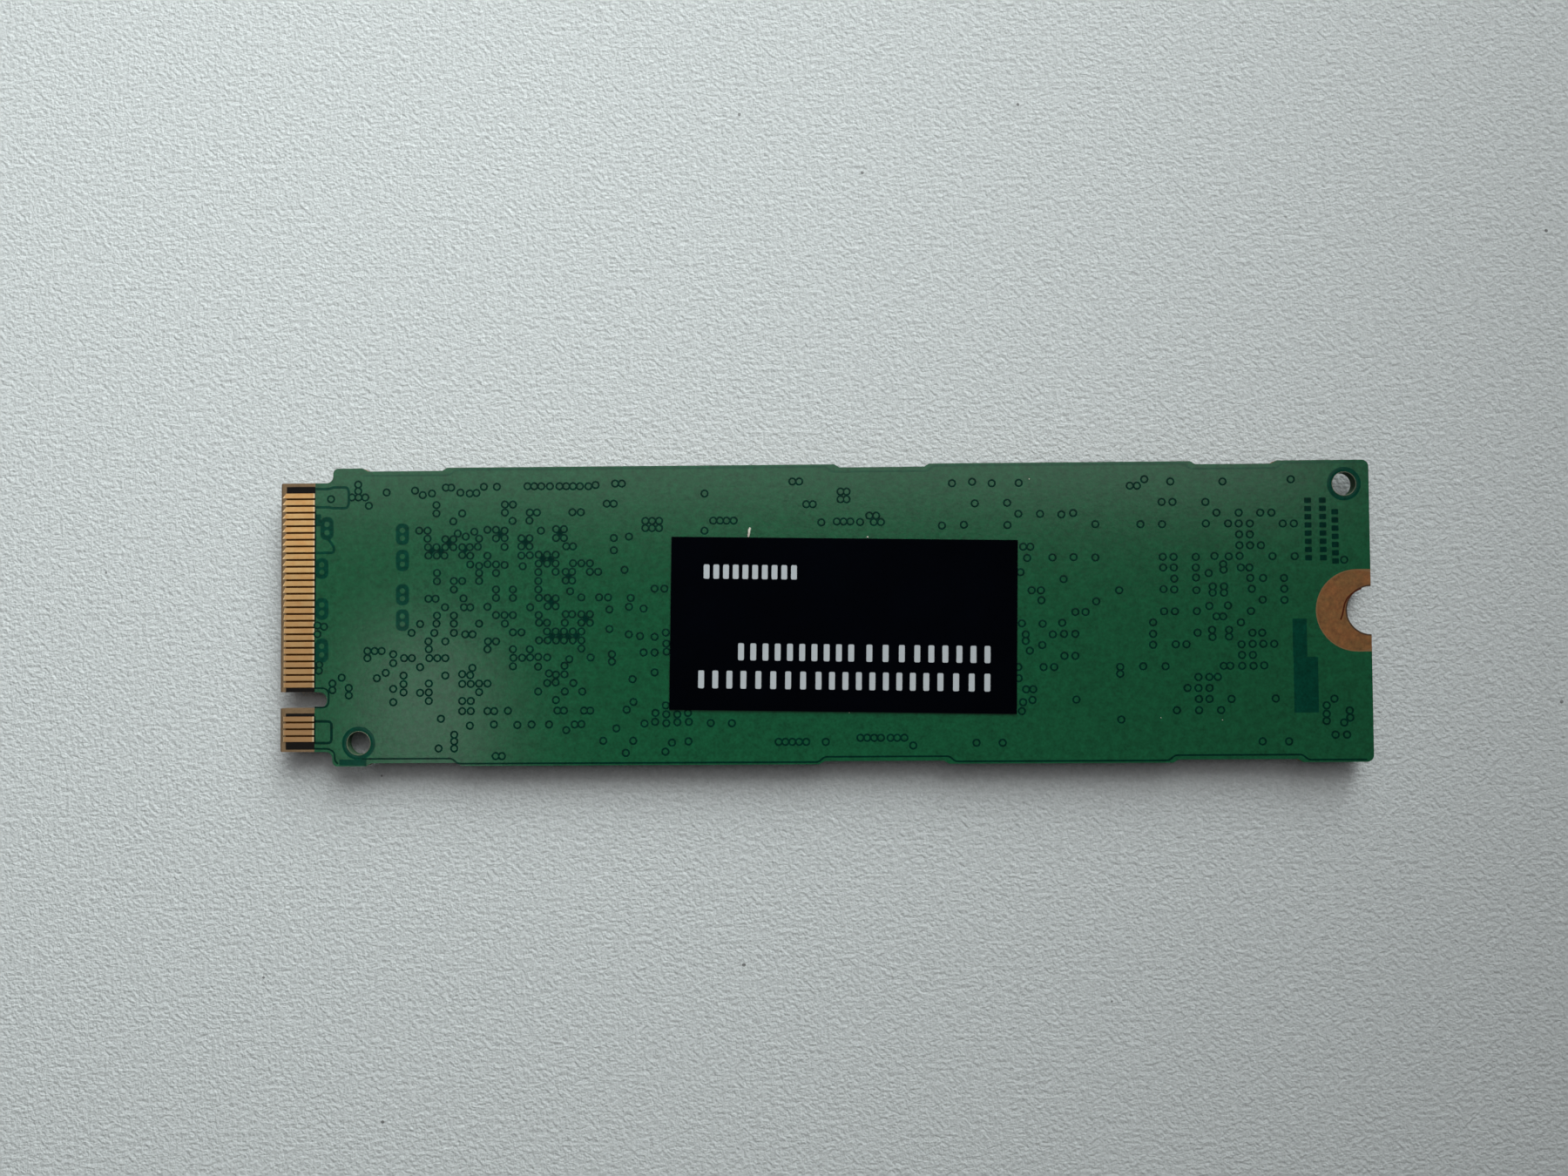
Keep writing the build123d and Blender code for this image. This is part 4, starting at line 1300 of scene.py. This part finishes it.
class CARD_OT_etched_panels(bpy.types.Operator):
    """Lay the dark panels, and the rows of small etched marks near the screw end"""

    bl_idname = "card.etched_panels"
    bl_label = "Etched Panels"

    # The first panel's share of the relief, and how much more each next one has, so that none share a face
    panel_rise = 0.6
    panel_step = 0.1
    panel_corner = 0.05 * MM

    # Columns of marks: X, upper and lower Y, then their pitch and their size along X and Y, in millimetres
    mark_columns = ((35.55, 8.05, 3.45), (36.62, 8.05, 3.45), (37.5, 7.2, 3.45))
    mark_pitch = 0.6
    mark_size = (0.5, 0.4)
    mark_rise = 0.7
    mark_corner = 0.06 * MM

    def execute(self, context):
        relief = context.scene.card_sizes.relief
        parts = []
        for number, (first, second) in enumerate(ETCHED_PANELS):
            low = on_board(context, first[0], second[1])
            high = on_board(context, second[0], first[1])
            height = relief * (self.panel_rise + self.panel_step * number)
            parts.append(plate(f"panel_{number}", low, high, height, self.panel_corner))
        dress(context, joined(parts, "etched_panels"), "mask_bare")
        half = Vector((*self.mark_size, 0)) / 2 * MM
        mark = plate("etched_mark", -half, half, relief * self.mark_rise, self.mark_corner)
        places = []
        for across, top, bottom in self.mark_columns:
            count = int((top - bottom) / self.mark_pitch)
            for index in range(count + 1):
                places.append(Vector((across * MM, (top - index * self.mark_pitch) * MM, BACK_FACE)))
        dress(context, scatter(mark, places, "etched_marks"), "mask_gap")
        return {"FINISHED"}


class CARD_OT_hole_collars(bpy.types.Operator):
    """Lay the bare collars of the two tooling holes, and pale rings round their rims as a painted highlight
    """

    bl_idname = "card.hole_collars"
    bl_label = "Hole Collars"

    ring_sides = 48
    rim_rise = 1.5

    def execute(self, context):
        sizes = context.scene.card_sizes
        places = [Vector((x, y, face)) for x, y, _ in TOOLING_HOLES for face in (BACK_FACE, FRONT_FACE)]
        collar = low_ring(
            "hole_collar", sizes.collar_radius, sizes.collar_width, sizes.relief, self.ring_sides)
        dress(context, scatter(collar, places, "hole_collars"), "mask_bare")
        # A pale ring round each hole's rim: painted highlight
        middle = HOLE_RADIUS + sizes.hole_rim / 2
        rim = low_ring("hole_rim", middle, sizes.hole_rim, sizes.relief * self.rim_rise, self.ring_sides)
        dress(context, scatter(rim, places, "hole_rims"), "hole_rim")
        return {"FINISHED"}


class CARD_OT_label_blocks(bpy.types.Operator):
    """Print rows of plain pale blocks on the label"""

    bl_idname = "card.label_blocks"
    bl_label = "Label Blocks"

    # Height over the label's middle and block height, then runs of blocks: start, end, count, in millimetres
    rows = (
        (3.81, 1.05, ((-10.3, -3.45, 10),)),
        (-2.05, 1.25, ((-7.7, 0.8, 10), (1.7, 4.5, 3), (5.2, 10.75, 6))),
        (-4.1, 1.3, ((-10.6, -8.1, 3), (-7.5, -2.7, 5), (-2.0, 6.3, 9), (6.9, 10.75, 4))),
    )

    block_corner = 0.1 * MM

    def execute(self, context):
        sizes = context.scene.card_sizes
        wide = sizes.bar_width / MM
        middle = (LABEL[0] + LABEL[1]) / 2
        middle.z = LABEL[1].z
        turn = Matrix.Translation(middle) @ Matrix.Rotation(sizes.label_turn, 4, "Z")
        parts = []
        for number, (up, tall, runs) in enumerate(self.rows):
            half = Vector((sizes.bar_width, tall * MM, 0)) / 2
            block = plate(f"print_block_{number}", -half, half, sizes.print_thickness, self.block_corner)
            places = []
            for start, end, count in runs:
                step = (end - start - wide) / (count - 1)
                for index in range(count):
                    across = start + wide / 2 + index * step
                    places.append(turn @ Matrix.Translation((across * MM, up * MM, 0)))
            parts.append(scatter(block, places, f"print_row_{number}"))
        dress(context, joined(parts, "label_blocks"), "label_print")
        return {"FINISHED"}


class CARD_OT_flecks(bpy.types.Operator):
    """Lay the pale sliver at the label's edge and a few crumbs about the card"""

    bl_idname = "card.flecks"
    bl_label = "Flecks"

    # The sliver: its two ends in the picture, its section, the height of its middle and its cuts
    sliver_ends = ((857.3, 615.6), (862.6, 606.6))
    sliver_width = 0.17 * MM
    sliver_thickness = 0.05 * MM
    sliver_lift = 0.045 * MM
    sliver_cuts = 5

    # How far the sliver narrows, bends sideways and curls up, and how fast it bends and curls
    taper = 1.3
    bend = 0.10 * MM
    bend_pace = 3.4
    curl = 0.03 * MM
    curl_pace = 5.0

    # Crumbs: place in the picture and radius in millimetres
    crumbs = (
        (1181.5, 550, 0.04), (1332.5, 824, 0.035), (1403.5, 826.5, 0.04), (996, 616.5, 0.07),
        (975, 818, 0.035))

    # How uneven a crumb is, how fast that changes along it, and its height as a share of its width
    crumb_swing = 0.35
    crumb_pace = 9e4
    crumb_height = 0.5

    def sliver(self, context):
        """A thin curled sliver, narrower at its ends."""
        start, end = (on_board(context, *point) for point in self.sliver_ends)
        length = (end - start).length
        clear_selection()
        bpy.ops.mesh.primitive_cube_add(size=1.0)
        bpy.context.object.scale = (length, self.sliver_width, self.sliver_thickness)
        made = settle("sliver")
        with editing():
            bpy.ops.mesh.subdivide(number_cuts=self.sliver_cuts)
        for vertex in made.data.vertices:
            share = vertex.co.x / length
            vertex.co.y *= 1.0 - self.taper * share * share
            vertex.co.y += self.bend * math.sin(self.bend_pace * share)
            vertex.co.z += self.curl * math.cos(self.curl_pace * share)
        turn = (end - start).to_2d().angle_signed(Vector((1, 0)))
        middle = (start + end) / 2
        middle.z = BACK_FACE + self.sliver_lift
        made.data.transform(Matrix.Translation(middle) @ Matrix.Rotation(turn, 4, "Z"))
        return made

    def crumb(self, number, place, radius):
        """A small uneven crumb, half sunk in the surface."""
        clear_selection()
        bpy.ops.mesh.primitive_ico_sphere_add(subdivisions=2, radius=radius, location=place)
        made = settle(f"crumb_{number}")
        for vertex in made.data.vertices:
            offset = vertex.co - place
            offset.x *= 1.0 + self.crumb_swing * math.sin(self.crumb_pace * offset.y + number)
            offset.z *= self.crumb_height
            vertex.co = place + offset
        return made

    def execute(self, context):
        parts = [self.sliver(context)]
        for number, (px, py, radius) in enumerate(self.crumbs):
            parts.append(self.crumb(number, on_board(context, px, py), radius * MM))
        dress(context, joined(parts, "flecks"), "fleck")
        return {"FINISHED"}


class CARD_OT_pad_scratch(bpy.types.Operator):
    """Draw the short scratch at the screw pad's inner edge"""

    bl_idname = "card.pad_scratch"
    bl_label = "Pad Scratch"

    # The scratch's run in the picture, its width and its share of the relief
    places = (
        (1563, 675.2), (1556.5, 678.2), (1550.6, 682.4), (1546.4, 687.2), (1543.6, 693), (1542.2, 700),
        (1540.8, 706.5), (1539, 711.5))
    width = 0.12 * MM
    rise = 0.4

    def execute(self, context):
        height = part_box("screw_pad_back")[1].z
        points = [on_board(context, *place, height) for place in self.places]
        made = ribbon("pad_scratch", points, self.width, context.scene.card_sizes.relief * self.rise)
        dress(context, made, "scratch")
        return {"FINISHED"}


class CARD_OT_stage(bpy.types.Operator):
    """Set the table, the soft light and the camera"""

    bl_idname = "card.stage"
    bl_label = "Stage"

    # Room between the card's lowest point and the table
    table_gap = 0.01 * MM

    # A reflection that looks up by the first of these shows none of the backdrop, by the second all of it
    room_heights = (0.5, 0.15)

    def lay_table(self, context, stage):
        """The pale table top under the card."""
        clear_selection()
        middle = (0, 0, CAD_BOX[0].z - self.table_gap)
        bpy.ops.mesh.primitive_plane_add(size=stage.table_size, location=middle)
        table = settle("table_top")
        coat(context, table, "table_top")

    def soft_light(self, name, place, back, size, power):
        """A rectangular soft light with its back to a direction."""
        turn = back.to_track_quat("Z", "Y").to_euler()
        bpy.ops.object.light_add(type="AREA", location=place, rotation=turn)
        light = bpy.context.object
        light.name = name
        light.data.shape = "RECTANGLE"
        light.data.size, light.data.size_y = size
        light.data.energy = power
        return light

    def set_lights(self, stage):
        """A low key light that no surface mirrors, and two panels overhead that the lacquer mirrors."""
        back = Vector(stage.key_place) - Vector(stage.key_aim)
        key = self.soft_light("key_light", stage.key_place, back, stage.key_size, stage.key_power)
        key.data.spread = stage.key_spread
        key.data.color = stage.key_tint
        key.visible_glossy = False
        self.soft_light("ceiling_panel", stage.panel_place, UP, stage.panel_size, stage.panel_power)
        self.soft_light("glint_panel", stage.glint_place, UP, stage.glint_size, stage.glint_power)

    def light_room(self, context, stage):
        """An even dim room, with a pale backdrop that the camera and low reflections see."""
        world = bpy.data.worlds.new("soft_room")
        world.use_nodes = True
        tree = world.node_tree
        place = put(tree, "ShaderNodeTexCoord").outputs["Generated"]
        height = put(tree, "ShaderNodeSeparateXYZ", Vector=place).outputs["Z"]
        upper, lower = self.room_heights
        low = ranged(tree, height, From_Min=upper, From_Max=lower)
        path = put(tree, "ShaderNodeLightPath")
        mirrored = sums(tree, "MULTIPLY", path.outputs["Is Glossy Ray"], low)
        seen = sums(tree, "MAXIMUM", path.outputs["Is Camera Ray"], mirrored)
        strength = ranged(tree, seen, To_Min=stage.fill, To_Max=stage.backdrop)
        fill(tree, tree.nodes["Background"], {"Color": BACKDROP_TINT, "Strength": strength})
        context.scene.world = world

    def set_camera(self, context, stage):
        """The camera at the picture's viewing angle."""
        bpy.ops.object.camera_add(location=stage.eye, rotation=stage.eye_turn)
        camera = bpy.context.object
        camera.name = "camera"
        camera.data.sensor_width = SENSOR_WIDTH
        camera.data.lens = stage.lens
        camera.data.clip_start = MM
        context.scene.camera = camera
        context.scene.view_settings.view_transform = "Standard"

    def execute(self, context):
        stage = context.scene.card_stage
        self.lay_table(context, stage)
        self.set_lights(stage)
        self.light_room(context, stage)
        self.set_camera(context, stage)
        return {"FINISHED"}


STEPS = (
    CARD_OT_finish_board, CARD_OT_finish_components, CARD_OT_vias, CARD_OT_front_vias, CARD_OT_paired_pads,
    CARD_OT_pour_lines, CARD_OT_etched_panels, CARD_OT_hole_collars, CARD_OT_label_blocks, CARD_OT_flecks,
    CARD_OT_pad_scratch, CARD_OT_stage,
)


class CARD_PT_finish(bpy.types.Panel):
    """Every step of the card's finish"""

    bl_label = "Drive Card"
    bl_idname = "CARD_PT_finish"
    bl_space_type = "VIEW_3D"
    bl_region_type = "UI"
    bl_category = "Drive Card"

    def draw(self, context):
        for step in STEPS:
            self.layout.operator(step.bl_idname)
        for values in (context.scene.card_sizes, context.scene.card_colours, context.scene.card_stage):
            box = self.layout.box()
            for key in values.__annotations__:
                box.prop(values, key)


GROUPS = {"card_sizes": CardSizes, "card_colours": CardColours, "card_stage": CardStage}


def register():
    """Registers the property groups, the operators and the panel."""
    for name, group in GROUPS.items():
        bpy.utils.register_class(group)
        setattr(bpy.types.Scene, name, PointerProperty(type=group))
    for made in (*STEPS, CARD_PT_finish):
        bpy.utils.register_class(made)


def unregister():
    """Takes the classes away again."""
    for made in (CARD_PT_finish, *reversed(STEPS)):
        bpy.utils.unregister_class(made)
    for name, group in GROUPS.items():
        delattr(bpy.types.Scene, name)
        bpy.utils.unregister_class(group)


def main():
    """Runs every step."""
    register()
    bpy.ops.card.finish_board()
    bpy.ops.card.finish_components()
    bpy.ops.card.vias()
    bpy.ops.card.front_vias()
    bpy.ops.card.paired_pads()
    bpy.ops.card.pour_lines()
    bpy.ops.card.etched_panels()
    bpy.ops.card.hole_collars()
    bpy.ops.card.label_blocks()
    bpy.ops.card.flecks()
    bpy.ops.card.pad_scratch()
    bpy.ops.card.stage()
    clear_selection()


if __name__ == "__main__":
    main()
